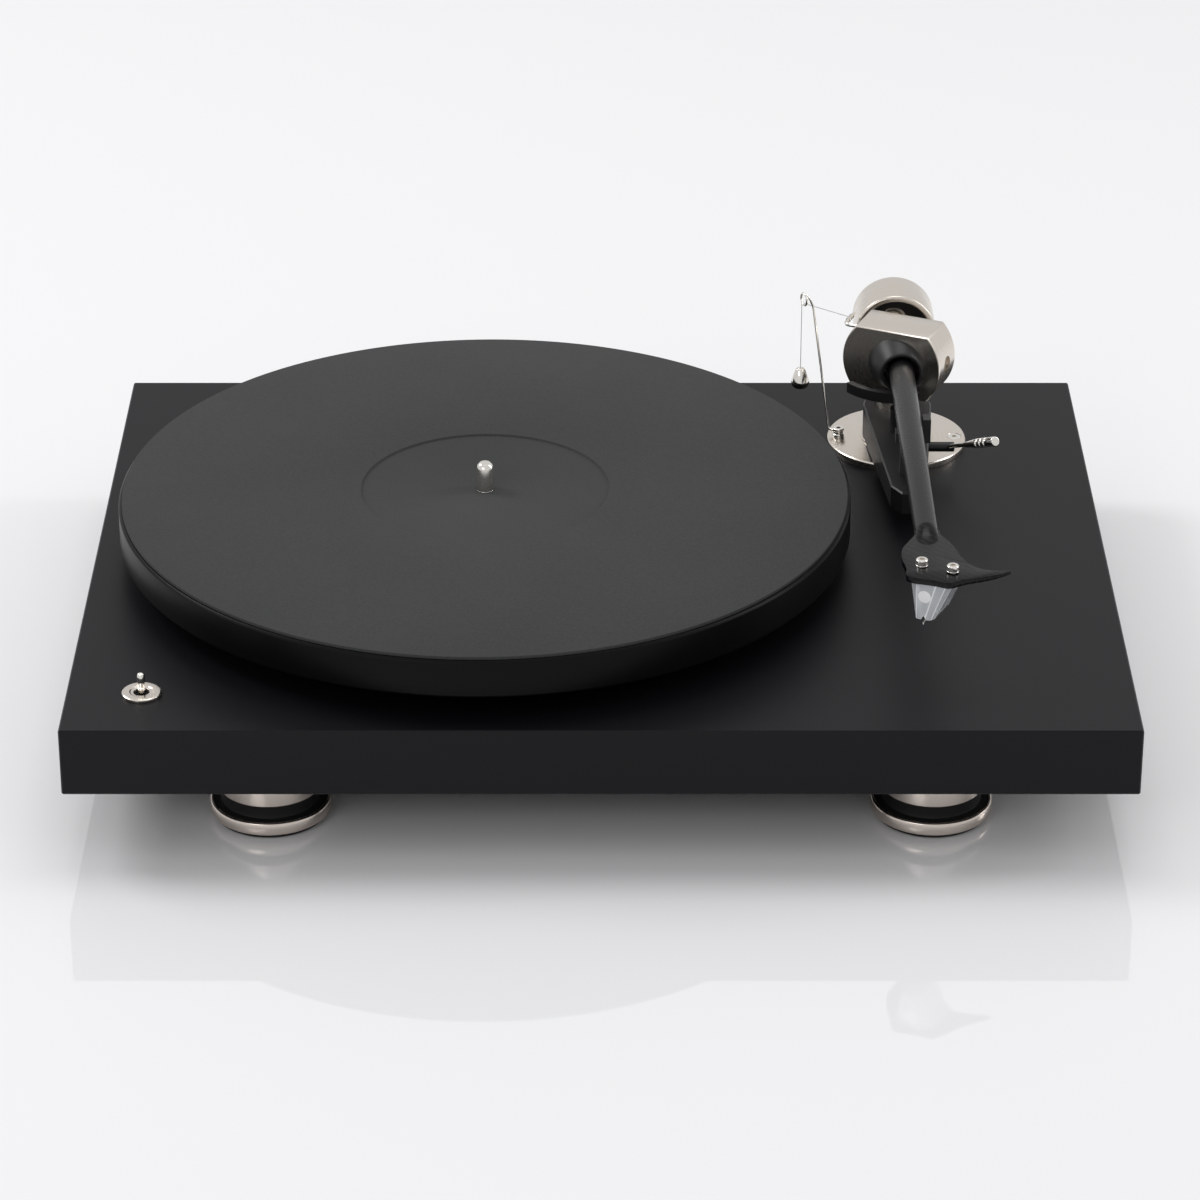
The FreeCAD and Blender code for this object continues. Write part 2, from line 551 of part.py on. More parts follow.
ball = bind(doc.addObject("Part::Sphere", "ball"), Radius="neck_bore - run_clear")
place(ball, SWITCH_X, SWITCH_Y, toggle_pivot)
toggle_tip = bind(doc.addObject("Part::Sphere", "tip"), Radius="toggle_radius")
place(toggle_tip, SWITCH_X, SWITCH_Y, f"{DECK} + toggle_rise - toggle_radius")
keep(join(ball, cone("toggle_root", "toggle_radius", "toggle_rise + 2.2 - toggle_radius",
                     SWITCH_X, SWITCH_Y, toggle_pivot), toggle_tip), "toggle_lever")

# ------------------------------------------------------------------ terminals
shell_box = box("box_width", "box_depth", "box_height", "box_left", BOX_Y, BOX_Z)
ears = [box("9.5", "11", EAR, x, f"{BOX_Y} + box_depth / 2 - 5.5", f"foot_height - {EAR}")
        for x in ("box_left - 9", "box_left + box_width - 0.5")]
hollow = box("box_width - 2 * box_wall", "box_depth - 2 * box_wall", "box_height",
             "box_left + box_wall", f"{BOX_Y} + box_wall", f"{BOX_Z} + box_wall")
sockets_x = ["box_left + socket_first", "box_left + socket_first + socket_pitch"]
ground_x = "(box_left + socket_first + socket_pitch * 2)"
jack_x = "(box_left + 8)"
wall_in = f"({BOX_FACE} - box_wall)"
holes = [cylinder("socket_bore", "box_wall + 2", x, f"{wall_in} - 1", SOCKET_Z, ALONG_Y)
         for x in sockets_x]
holes.append(cylinder("ground_radius + fit_clear", "box_wall + 2", ground_x, f"{wall_in} - 1",
                      SOCKET_Z, ALONG_Y))
holes.append(cylinder("jack_radius + fit_clear", "box_wall + 2", jack_x, f"{wall_in} - 1",
                      SOCKET_Z, ALONG_Y))
holes += [cylinder("screw_radius + fit_clear", f"{EAR} + 2", x, y, f"foot_height - {EAR} - 1")
          for x, y in box_screw_places()]
keep(cut(join(shell_box, *ears), hollow, *holes), "terminal_box")

core = "(socket_bore - run_clear)"
socket_face = f"({BOX_FACE} + washer_thick)"
keep(group([turned([("pin_bore", "box_wall + 1"), ("pin_bore", "box_wall + washer_thick + socket_length - 1"),
                    (core, "box_wall + washer_thick + socket_length - 1"),
                    (core, "box_wall + washer_thick"), ("washer_radius", "box_wall + washer_thick"),
                    ("washer_radius", "box_wall"), (core, "box_wall"), (core, "0"), ("0", "0"),
                    ("0", "box_wall + 1")], x, wall_in, SOCKET_Z, ALONG_Y)
            for x in sockets_x]), "signal_socket_insulators")
keep(group([turned([("socket_bore", "0"), ("socket_flange", "0"), ("socket_flange", "1"),
                    ("socket_radius", "1"), ("socket_radius", "socket_length - 0.3"),
                    ("socket_radius - 0.3", "socket_length"), ("socket_bore", "socket_length")],
                   x, socket_face, SOCKET_Z, ALONG_Y) for x in sockets_x]), "signal_socket_shells")
keep(turned([("0", "(-4)"), ("ground_radius", "(-4)"), ("ground_radius", "box_wall"),
             ("ground_knob", "box_wall"), ("ground_knob", "box_wall + 5"),
             ("ground_knob - 0.6", "box_wall + 5.6"), ("ground_radius", "box_wall + 5.6"),
             ("ground_radius", "box_wall + 8"), ("0", "box_wall + 8")],
            ground_x, wall_in, SOCKET_Z, ALONG_Y), "ground_terminal")
keep(turned([("0", "(-9)"), ("jack_radius", "(-9)"), ("jack_radius", "box_wall"),
             ("jack_radius + 1", "box_wall"), ("jack_radius + 1", "box_wall + 0.8"),
             ("jack_bore", "box_wall + 0.8"), ("jack_bore", "(-7)"), ("1", "(-7)"),
             ("1", "box_wall"), ("0", "box_wall")],
            jack_x, wall_in, SOCKET_Z, ALONG_Y), "power_inlet")

# ------------------------------------------------------------------ tonearm base
base_top = f"({DECK} + base_thick)"
base_disc = turned([("pillar_radius + fit_clear", DECK), ("base_radius", DECK),
                    ("base_radius", f"{base_top} - 0.4"), ("base_radius - 0.4", base_top),
                    ("boss_radius", base_top), ("boss_radius", f"{base_top} + boss_height - 0.3"),
                    ("boss_radius - 0.3", f"{base_top} + boss_height"),
                    ("pillar_radius + fit_clear", f"{base_top} + boss_height")], PIVOT_X, PIVOT_Y)
sink = "(head_radius - screw_radius)"
base_holes = []
for spot_x, spot_y in base_places(BASE_SCREWS):
    base_holes.append(cylinder("screw_radius + fit_clear", "base_thick + 2", spot_x, spot_y, f"{DECK} - 1"))
    base_holes.append(cone("screw_radius + fit_clear", "head_radius + fit_clear", sink, spot_x, spot_y,
                           f"{base_top} - {sink}"))
post_x, post_y = base_places((POST_ANGLE,))[0]
base_holes.append(cylinder("screw_radius + fit_clear", "base_thick + 2", post_x, post_y, f"{DECK} - 1"))
keep(cut(base_disc, *base_holes), "arm_base_disc")
flush = f"({base_top} - 0.1)"
keep(group([turned([("0", f"{flush} - screw_length"), ("screw_radius", f"{flush} - screw_length"),
                    ("screw_radius", f"{flush} - {sink}"), ("head_radius", flush), ("1", flush),
                    ("1", f"{flush} - 1"), ("0", f"{flush} - 1")], x, y)
            for x, y in base_places(BASE_SCREWS)]), "arm_base_screws")

pillar_low = "(foot_height - nut_thick - 2)"
pillar_top = f"({DECK} + pillar_rise)"
race_low = f"({DECK} - 6)"
race_high = f"({pillar_top} - race_height)"
keep(turned([("pillar_bore", pillar_low), ("pillar_radius", pillar_low), ("pillar_radius", pillar_top),
             ("pillar_bore", pillar_top)], PIVOT_X, PIVOT_Y), "arm_pillar")
nut_side = "nut_radius * cos(30 deg)"
nut = padded([("nut_radius", "0"), ("nut_radius / 2", nut_side), ("(-nut_radius / 2)", nut_side),
              ("(-nut_radius)", "0"), ("(-nut_radius / 2)", f"-{nut_side}"),
              ("nut_radius / 2", f"-{nut_side}")], "nut_thick", PIVOT_X, PIVOT_Y,
             "foot_height - nut_thick")
keep(cut(nut, cylinder("pillar_radius + run_clear", "nut_thick + 2", PIVOT_X, PIVOT_Y,
                       "foot_height - nut_thick - 1")), "pillar_nut")
keep(group([turned([("yaw_radius + run_clear", low), ("pillar_bore - run_clear", low),
                    ("pillar_bore - run_clear", f"{low} + race_height"),
                    ("yaw_radius + run_clear", f"{low} + race_height")], PIVOT_X, PIVOT_Y)
            for low in (race_low, race_high)]), "yaw_bearings")

# bracket under the arm: its plan meets its side view
plan = padded([("(-bracket_wrap)", "0"), ("(-bracket_nose)", "(-bracket_reach)"),
               ("(-bracket_tip)", "(-bracket_length)"), ("bracket_tip", "(-bracket_length)"),
               ("bracket_nose", "(-bracket_reach)"), ("bracket_wrap", "0")],
              "bracket_top", PIVOT_X, PIVOT_Y, DECK)
side_view = padded([("(-bracket_length - 1)", "bracket_belly"), ("(-base_radius)", "base_thick + 2.4"),
                    ("(-boss_radius)", "base_thick + boss_height"),
                    ("bracket_wrap + 1", "base_thick + boss_height"),
                    ("bracket_wrap + 1", "bracket_top - bracket_edge"),
                    ("bracket_wrap + 1", "bracket_top"), ("(-bracket_length - 1)", "bracket_top")],
                   "4 * bracket_wrap", f"{PIVOT_X} - 2 * bracket_wrap", PIVOT_Y, DECK, "YZ_Plane")
wrap = cylinder("bracket_wrap", "bracket_top", PIVOT_X, PIVOT_Y, DECK)
bracket = cut(common(join(plan, wrap), side_view),
              cylinder("pillar_radius + fit_clear", "bracket_top + 2", PIVOT_X, PIVOT_Y, f"{DECK} - 1"))
top_rim = f"{DECK} + bracket_top"
crown = doc.addObject("Part::Chamfer", "crown")
crown.Base = bracket
doc.recompute()
rim_height = number(top_rim)
bore_limit = number("pillar_radius + 1")
pivot_spot = FreeCAD.Vector(number(PIVOT_X), number(PIVOT_Y), rim_height)
crown.Edges = [(index, number("bracket_edge"), number("bracket_edge"))
               for index, edge in enumerate(bracket.Shape.Edges, start=1)
               if min(vertex.Z for vertex in edge.Vertexes) > rim_height - 1e-3
               and (edge.CenterOfMass - pivot_spot).Length > bore_limit]
hub_y = f"({PIVOT_Y} - hub_reach)"
hub_z = f"({DECK} + hub_height)"
tower_y = f"({PIVOT_Y} - lift_radius)"
rest_y = f"({PIVOT_Y} - rest_reach)"
keep(cut(crown, cylinder("hub_radius + run_clear", "bracket_wrap", f"{PIVOT_X} + hub_root - 0.5", hub_y,
                         hub_z, ALONG_X)), "lift_bracket")

tower_low = f"({DECK} + bracket_top)"
keep(cut(cylinder("tower_radius", "tower_rise", PIVOT_X, tower_y, tower_low),
         cylinder("rod_radius + run_clear", "tower_rise", PIVOT_X, tower_y, f"{tower_low} + 1")),
     "lift_tower")
lift_z = f"({DECK} + lift_low)"
swept = "(lift_inward + lift_outward)"
arc = bind(doc.addObject("Part::Cylinder", "arc"), Radius="lift_radius + lift_width / 2",
           Height="lift_height", Angle=f"{swept} * 1 deg")
place(arc, PIVOT_X, PIVOT_Y, lift_z, FreeCAD.Rotation(FreeCAD.Vector(0, 0, 1), 0))
arc.setExpression("Placement.Rotation.Angle", bound("(-90 - lift_inward) * 1 deg"))
keep(join(cut(arc, cylinder("lift_radius - lift_width / 2", "lift_height + 2", PIVOT_X, PIVOT_Y,
                            f"{lift_z} - 1")),
          cylinder("rod_radius", f"{lift_z} - {tower_low} - 3 + 1", PIVOT_X, tower_y, f"{tower_low} + 3")),
     "lift_platform")

tube_rise = "(arm_rise + rest_reach * tan(arm_slope * 1 deg))"
tube_here = "(tube_root - (tube_root - tube_end) * rest_reach / tube_length)"
cradle_top = f"({DECK} + {tube_rise} - {tube_here} - rest_gap)"
keep(join(box("rest_left + rest_right", "rest_depth", "rest_base", f"{PIVOT_X} - rest_left",
              f"{rest_y} - rest_depth / 2", f"{cradle_top} - rest_base"),
          box("rest_ear", "rest_depth", "rest_base + rest_ear_rise", f"{PIVOT_X} + rest_right - rest_ear",
              f"{rest_y} - rest_depth / 2", f"{cradle_top} - rest_base"),
          box("6", "rest_depth - 1", f"{cradle_top} - {tower_low} - rest_base / 2", f"{PIVOT_X} - 3",
              f"{rest_y} - rest_depth / 2 + 0.5", tower_low)), "arm_rest")

# cue lever: a hub across the bracket and a lever that rises from it towards the user
lever_vector = FreeCAD.Vector(number("lever_side"), -number("lever_forward"), number("lever_rise"))
lever_turn = FreeCAD.Rotation(FreeCAD.Vector(0, 0, 1), lever_vector)
lever_length = "sqrt(lever_side ^ 2 + lever_forward ^ 2 + lever_rise ^ 2)"
lever_x = f"({PIVOT_X} + lever_root)"
keep(cut(cylinder("hub_radius", "hub_end - hub_root", f"{PIVOT_X} + hub_root", hub_y, hub_z, ALONG_X),
         cylinder("lever_rod + run_clear", "8", lever_x, hub_y, hub_z, lever_turn)), "cue_hub")
grip = f"({lever_length} * 0.63)"
groove = "0.35"
lever_corners = [("0", "0.2"), ("lever_rod", "0.2"), ("lever_rod", f"{lever_length} * 0.38"),
                 ("lever_grip - 0.1", grip)]
for ring in range(3):
    start = f"({grip} + 2.2 + {ring} * 3)"
    lever_corners += [("lever_grip", start), (f"lever_grip - {groove}", f"{start} + 0.2"),
                      (f"lever_grip - {groove}", f"{start} + 0.9"), ("lever_grip", f"{start} + 1.1")]
lever_corners += [("lever_grip", f"{lever_length} - 0.4"), ("lever_grip - 0.4", lever_length),
                  ("0", lever_length)]
keep(turned(lever_corners, lever_x, hub_y, hub_z, lever_turn), "cue_lever")


# ------------------------------------------------------------------ antiskate
def spot_now(spot):
    """The present place of a spot given as expressions."""
    return FreeCAD.Vector(*(number(text) for text in spot))


def rod(radius, start, end):
    """A round rod between two places given as expressions."""
    span = spot_now(end) - spot_now(start)
    piece = cylinder(radius, "1", *start, turn=FreeCAD.Rotation(FreeCAD.Vector(0, 0, 1), span))
    squares = " + ".join(f"(({b}) - ({a})) ^ 2" for a, b in zip(start, end))
    return bind(piece, Height=f"sqrt({squares})")


def knob(radius, spot, turn=UP):
    """A ball with its middle at a spot."""
    return place(bind(doc.addObject("Part::Sphere", "knob"), Radius=radius), *spot, turn=turn)


def elbow(radius, before, spot, after):
    """A ball that rounds a bend, turned so that its poles and seam face away from both rods."""
    arriving = (spot_now(spot) - spot_now(before)).normalize()
    leaving = (spot_now(after) - spot_now(spot)).normalize()
    turn = FreeCAD.Rotation(arriving - leaving, FreeCAD.Vector(), arriving.cross(leaving), "ZXY")
    return knob(f"{radius} * bend_swell", spot, turn)


def bent_rod(radius, spots):
    """A rod bent at each place between its ends."""
    legs = [rod(radius, start, end) for start, end in zip(spots, spots[1:])]
    return join(*legs, *(elbow(radius, *corner) for corner in zip(spots, spots[1:], spots[2:])))


post_top = f"({base_top} + post_height)"
wire_z = f"({base_top} + post_height * 0.55)"
eye = (f"{PIVOT_X} - eye_left", f"{PIVOT_Y} + eye_back", f"{DECK} + eye_rise")
post = turned([("0", f"{DECK} - screw_length + 1"), ("screw_radius", f"{DECK} - screw_length + 1"),
               ("screw_radius", base_top), ("post_radius", base_top),
               ("post_radius", f"{base_top} + post_height * 0.35"),
               ("post_radius - 0.4", f"{base_top} + post_height * 0.45"),
               ("post_radius - 0.4", f"{base_top} + post_height * 0.6"),
               ("post_radius", f"{base_top} + post_height * 0.7"), ("post_radius", post_top),
               ("1", post_top), ("1", f"{post_top} - 1.5"), ("0", f"{post_top} - 1.5")], post_x, post_y)
wire_foot = (f"{post_x} - 1", post_y, wire_z)
wire_bend = (f"{post_x} - 4", f"{post_y} + 2", f"{wire_z} + 0.6")
wire_top = (f"{eye[0]} + 4", eye[1], f"{eye[2]} - 2.6")
wire_elbow = (f"{eye[0]} + 2.6", eye[1], f"{eye[2]} - 0.4")
wire_end = (eye[0], eye[1], f"{eye[2]} + eye_radius")
bolt_hole = rod("wire_radius + fit_clear", (f"{post_x} - 0.8", post_y, wire_z), wire_bend)
keep(cut(post, bolt_hole), "antiskate_post")
ring = bind(doc.addObject("Part::Torus", "eye"), Radius1="eye_radius", Radius2="wire_radius")
place(ring, *eye, FreeCAD.Rotation(FreeCAD.Vector(0, 0, 1), number("eye_turn")) * ALONG_X)
keep(join(bent_rod("wire_radius", [wire_foot, wire_bend, wire_top, wire_elbow, wire_end]), ring),
     "antiskate_wire")

stub_root = (f"{PIVOT_X} - block_radius + 7.6", f"{PIVOT_Y} + 14.2", f"{DECK} + stub_rise")
stub_corner = (f"{PIVOT_X} - block_radius - 0.6", f"{PIVOT_Y} + 17.4", f"{DECK} + stub_rise")
stub_end = (f"{PIVOT_X} - block_radius + 4.1", f"{PIVOT_Y} + 28.9", f"{DECK} + stub_rise")
hook = (f"{PIVOT_X} - block_radius + 1.4", f"{PIVOT_Y} + 23.4", f"{DECK} + stub_rise + stub_radius + 0.35")
saddle = (f"{eye[0]} - 0.2", eye[1], f"{eye[2]} - eye_radius + wire_radius + thread_radius + 0.15")
bob = (f"{eye[0]} - 0.9", eye[1], f"{DECK} + bob_top")
keep(bent_rod("thread_radius", [hook, saddle, (bob[0], bob[1], f"{saddle[2]} - 0.1"), bob]),
     "antiskate_thread")
bob_low = "(bob_top - bob_height)"
keep(turned([("0", "0"), ("bob_large - 0.3", "0"), ("bob_large", "0.3"), ("bob_large", "bob_band"),
             ("bob_small", "bob_height - 0.4"), ("bob_small - 0.4", "bob_height"), ("0", "bob_height")],
            bob[0], bob[1], f"{DECK} + {bob_low}"), "antiskate_weight")

# ------------------------------------------------------------------ bearing block (swings sideways)
yaw_turn = FreeCAD.Rotation(FreeCAD.Vector(0, 0, 1), -number("offset_angle"))
back_x, back_y = "sin(offset_angle * 1 deg)", "cos(offset_angle * 1 deg)"
side_x, side_y = "cos(offset_angle * 1 deg)", "(-sin(offset_angle * 1 deg))"


def on_block(side, back, up="0"):
    """A place given across, behind and above the block's middle."""
    return (f"{PIVOT_X} + ({side}) * {side_x} + ({back}) * {back_x}",
            f"{PIVOT_Y} + ({side}) * {side_y} + ({back}) * {back_y}", f"{PIVOT_Z} + ({up})")


half = "(block_thick / 2)"
edge = "block_edge"
drum = turned([("0", "0"), ("block_radius - block_edge", "0"), ("block_radius", edge),
               ("block_radius", "block_thick - block_edge"), ("block_radius - block_edge", "block_thick"),
               ("0", "block_thick")], *on_block("0", f"-{half}"), yaw_turn * ALONG_Y)
slab = box("3 * block_radius", "3 * block_thick", "2 * block_flat",
           *on_block("-1.5 * block_radius", "-1.5 * block_thick", "-block_flat"), yaw_turn)
bore_through = cylinder("arm_bore", "4 * block_radius", PIVOT_X, f"{PIVOT_Y} - 2 * block_radius", PIVOT_Z,
                        ALONG_Y)
side_turn = yaw_turn * ALONG_X
screw_bore = cylinder("pitch_screw + run_clear", "3 * block_radius", *on_block("-1.5 * block_radius", "0"),
                      side_turn)
recesses = [cylinder("screw_recess", "8", *on_block(side, "0"), side_turn)
            for side in ("block_radius - 2", "-block_radius - 6")]
stub_hole = rod("stub_radius + run_clear", stub_root, stub_corner)
yaw_bore = cylinder("yaw_radius + run_clear", "block_flat - arm_bore", PIVOT_X, PIVOT_Y,
                    f"{PIVOT_Z} - block_flat - 3")
keep(cut(common(drum, slab), bore_through, screw_bore, *recesses, stub_hole, yaw_bore), "bearing_block")

collar_cone = cone("collar_base", "collar_tip", "collar_reach - collar_start", PIVOT_X,
                   f"{PIVOT_Y} - collar_start", PIVOT_Z, TOWARDS_FRONT)
behind_face = box("4 * block_radius", "2 * block_thick", "4 * block_radius",
                  *on_block("-2 * block_radius", f"-{half}", "-2 * block_radius"), yaw_turn)
keep(cut(collar_cone, behind_face, bore_through), "block_collar")
keep(turned([("0", race_low), ("yaw_radius", race_low), ("yaw_radius", pillar_top),
             ("yaw_radius + 2", f"{pillar_top} + 0.3"), ("yaw_radius + 2", f"{PIVOT_Z} - block_flat"),
             ("yaw_radius", f"{PIVOT_Z} - block_flat"), ("yaw_radius", f"{PIVOT_Z} - arm_bore - 3.2"),
             ("0", f"{PIVOT_Z} - arm_bore - 3.2")], PIVOT_X, PIVOT_Y), "yaw_spindle")
tip = "(tube_root / cos(offset_angle * 1 deg) + 0.25)"
screw_end = "(block_radius - 2.4)"
pitch_corners = [("0", tip), ("0.3", tip), ("pitch_screw", f"{tip} + 2.2"), ("pitch_screw", screw_end),
                 ("1", screw_end), ("1", f"{screw_end} - 1.5"), ("0", f"{screw_end} - 1.5")]
other_side = FreeCAD.Rotation(FreeCAD.Vector(0, 0, 1), 180)
keep(group([turned(pitch_corners, *on_block("0", "0"), turn)
            for turn in (side_turn, other_side * side_turn)]), "pitch_screws")
keep(bent_rod("stub_radius", [stub_root, stub_corner, stub_end]), "antiskate_stub")

# ------------------------------------------------------------------ arm (tips up and down)
arm_turn = FreeCAD.Rotation(FreeCAD.Vector(1, 0, 0), 90 - number("arm_slope"))
stem_turn = FreeCAD.Rotation(FreeCAD.Vector(1, 0, 0), -90 - number("arm_slope"))
ahead_y, ahead_z = "(-cos(arm_slope * 1 deg))", "sin(arm_slope * 1 deg)"


def on_arm(reach):
    """A place on the arm's axis, ahead of the pivot."""
    return (PIVOT_X, f"{PIVOT_Y} + ({reach}) * {ahead_y}", f"{PIVOT_Z} + ({reach}) * {ahead_z}")


tube = turned([("tube_root - tube_wall", "(-tube_back)"), ("tube_root", "(-tube_back)"),
               ("tube_root", "tube_back"), ("tube_end", "tube_length"),
               ("tube_end - tube_wall", "tube_length"), ("tube_root - tube_wall", "tube_back")],
              *on_arm("0"), arm_turn)
keep(tube, "arm_tube")
stem_inner = "(tube_root - tube_wall - run_clear)"
keep(turned([("0", "4"), (stem_inner, "4"), (stem_inner, "tube_back"), ("stem_radius", "tube_back"),
             ("stem_radius", "stem_length - 0.5"), ("stem_radius - 0.5", "stem_length"),
             ("0", "stem_length")], *on_arm("0"), stem_turn), "weight_stem")

shell_z = f"({DECK} + shell_rise)"
shell_plan = [(-3.9, -178.6), (-9.4, -201), (-9.2, -218.5), (6, -226.4), (14, -223.2), (30, -214.4),
              (29.6, -213.4), (16, -209.6), (10.9, -205.6), (5, -178.3)]
shell = padded([(f"{x}", f"{y}") for x, y in reversed(shell_plan)], "shell_thick", PIVOT_X, PIVOT_Y,
               shell_z)
tongue = cylinder("tube_end - tube_wall - run_clear", "12", *on_arm("tube_length - 8"), arm_turn)
mount_places = [(f"{PIVOT_X} + mount_side {sign} mount_pitch / 2 * {side_x}",
                 f"{PIVOT_Y} - mount_reach {sign} mount_pitch / 2 * {side_y}") for sign in "-+"]
shell_holes = [cylinder("mount_hole + fit_clear", "shell_thick + 2", x, y, f"{shell_z} - 1")
               for x, y in mount_places]
keep(cut(join(shell, tongue), *shell_holes), "headshell")
cap_z = f"({shell_z} + shell_thick)"
bolt_low = f"({shell_z} - bolt_depth)"
keep(group([turned([("0", bolt_low), ("mount_hole", bolt_low), ("mount_hole", cap_z),
                    ("cap_radius", cap_z), ("cap_radius", f"{cap_z} + cap_height - 0.3"),
                    ("cap_radius - 0.3", f"{cap_z} + cap_height"), ("cap_socket", f"{cap_z} + cap_height"),
                    ("cap_socket", f"{cap_z} + 1"), ("0", f"{cap_z} + 1")], x, y)
            for x, y in mount_places]), "headshell_screws")

cart_low = f"({shell_z} - cart_height)"
cart_back = "(cart_length - 7)"


def on_cartridge(side, back, up):
    """A place across, behind the screw line and above the cartridge's underside."""
    return (f"{PIVOT_X} + mount_side + ({side}) * {side_x} + ({back}) * {back_x}",
            f"{PIVOT_Y} - mount_reach + ({side}) * {side_y} + ({back}) * {back_y}", f"{cart_low} + ({up})")


def tapered(half_low, half_high, front_low, front_high, back_low, back_high, low, height):
    """A block that widens upwards, where its front view meets its side view."""
    across = padded([(f"-({half_low})", "0"), (half_low, "0"), (half_high, height),
                     (f"-({half_high})", height)], f"{front_high} + {back_high}",
                    *on_cartridge("0", back_high, low), "XZ_Plane", yaw_turn)
    along = padded([(f"-({front_low})", "0"), (back_low, "0"), (back_high, height),
                    (f"-({front_high})", height)], f"2 * ({half_high})",
                   *on_cartridge(f"-({half_high})", "0", low), "YZ_Plane", yaw_turn)
    return common(across, along)


cart_half = "(cart_width / 2)"
cartridge = tapered(f"{cart_half} - cart_taper", cart_half, "5.5", "7", f"({cart_back} - 1)", cart_back,
                    "0", "cart_height")
cart_holes = [cylinder("mount_hole + fit_clear", "bolt_depth + 1", x, y, f"{bolt_low} - 0.2")
              for x, y in mount_places]
keep(cut(cartridge, *cart_holes), "cartridge_body")
stylus_drop = f"({cart_low} - {DECK} - stylus_rise)"
holder_drop = f"({stylus_drop} * 0.62)"
holder = tapered("2.1", "3.4", "4.5", "5.5", "5", "7", f"-{holder_drop}", holder_drop)
stylus_tip = (f"{PIVOT_X} + mount_side - 9.2 * {back_x}", f"{PIVOT_Y} - mount_reach - 9.2 * {back_y}",
              f"{DECK} + stylus_rise + 0.6")
cantilever_root = on_cartridge("0", "-1.5", f"-{stylus_drop} * 0.45")
diamond = cone("0.08", "0.35", "0.9", stylus_tip[0], stylus_tip[1], f"{DECK} + stylus_rise")
keep(join(holder, rod("0.3", cantilever_root, stylus_tip), knob("0.36", stylus_tip), diamond),
     "stylus_assembly")

# ------------------------------------------------------------------ counterweight
inner_rim = "(weight_radius - weight_rim)"
weight_bore = "(stem_radius + 0.08)"
keep(turned([(weight_bore, "weight_start + weight_recess"), (inner_rim, "weight_start + weight_recess"),
             (inner_rim, "weight_start + 0.4"), (f"{inner_rim} + 0.4", "weight_start"),
             ("weight_radius - 0.4", "weight_start"), ("weight_radius", "weight_start + 0.4"),
             ("weight_radius", "weight_start + weight_length - 0.8"),
             ("weight_radius - 0.8", "weight_start + weight_length"),
             (weight_bore, "weight_start + weight_length")], *on_arm("0"), stem_turn), "counterweight")

# ------------------------------------------------------------------ check and write
doc.recompute()
for item in doc.Objects:
    if "Invalid" in item.State or "Error" in item.State:
        raise RuntimeError(f"{item.Label} failed: {item.State}")
os.makedirs("parts", exist_ok=True)
for item in subparts:
    shape = item.Shape
    if shape.isNull() or not shape.isValid() or not shape.Solids:
        raise RuntimeError(f"{item.Label} has no valid solid")
    shape.exportStep(f"parts/{item.Label}.step")
    print(f"{item.Label}: {len(shape.Solids)} solid(s), {shape.Volume:.1f} mm3")
print(f"{len(subparts)} sub-parts written")
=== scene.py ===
"""Belt-drive turntable: finishes, detailed pieces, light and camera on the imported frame.

All lengths are metres in the frame's own axes: +X right, +Y back, +Z up.
"""
import json
import logging
import math
from dataclasses import dataclass, field
from enum import Enum
from typing import Callable, Optional, Sequence

import bpy
from mathutils import Matrix, Vector


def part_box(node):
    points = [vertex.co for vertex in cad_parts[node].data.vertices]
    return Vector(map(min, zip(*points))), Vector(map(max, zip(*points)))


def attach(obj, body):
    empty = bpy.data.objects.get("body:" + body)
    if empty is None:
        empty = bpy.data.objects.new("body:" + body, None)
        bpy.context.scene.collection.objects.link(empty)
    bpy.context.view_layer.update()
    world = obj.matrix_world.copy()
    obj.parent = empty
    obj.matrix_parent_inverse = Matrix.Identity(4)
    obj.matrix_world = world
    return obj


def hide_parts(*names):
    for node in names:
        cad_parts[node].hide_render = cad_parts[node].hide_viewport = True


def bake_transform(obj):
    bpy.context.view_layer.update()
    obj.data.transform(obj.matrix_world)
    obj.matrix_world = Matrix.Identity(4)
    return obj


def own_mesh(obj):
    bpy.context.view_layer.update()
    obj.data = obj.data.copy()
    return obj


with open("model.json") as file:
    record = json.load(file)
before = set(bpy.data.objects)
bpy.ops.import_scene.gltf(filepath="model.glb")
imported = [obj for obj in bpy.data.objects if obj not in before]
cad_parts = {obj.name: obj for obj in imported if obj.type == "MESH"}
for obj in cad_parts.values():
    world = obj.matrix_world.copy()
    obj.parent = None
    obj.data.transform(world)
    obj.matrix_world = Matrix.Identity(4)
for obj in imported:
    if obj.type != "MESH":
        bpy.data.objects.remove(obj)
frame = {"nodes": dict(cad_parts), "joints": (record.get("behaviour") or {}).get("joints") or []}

log = logging.getLogger("turntable")
MM = 0.001                      # a millimetre, in the frame's metres
KEY_SIDES = 6                   # a hexagon key and its socket
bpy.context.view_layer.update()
Outline = Sequence[tuple[float, float]]
Triple = tuple[float, float, float]
JOINTS = {joint["name"]: joint for joint in frame["joints"]}


def joint_place(name: str) -> Vector:
    """The place of a hinge, from the frame."""
    return Vector(JOINTS[name]["pos_m"])


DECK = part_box("plinth")[1].z    # the height of the plinth's top
SPINDLE = joint_place("platter_spin")
PIVOT = joint_place("arm_yaw")
SWITCH = joint_place("power_toggle")
CUE = joint_place("cue_lever_turn")
OFFSET = math.radians(24)       # the turn of the headshell and the pivot block from the arm
SLOPE = math.radians(1.6)       # the rise of the arm towards the headshell
UP = Vector((0, 0, 1))
RIGHT = Vector((1, 0, 0))
FRONT = Vector((0, -1, 0))
PITCH_LINE = Vector((math.cos(OFFSET), -math.sin(OFFSET), 0))
BLOCK_LINE = Vector((math.sin(OFFSET), math.cos(OFFSET), 0))


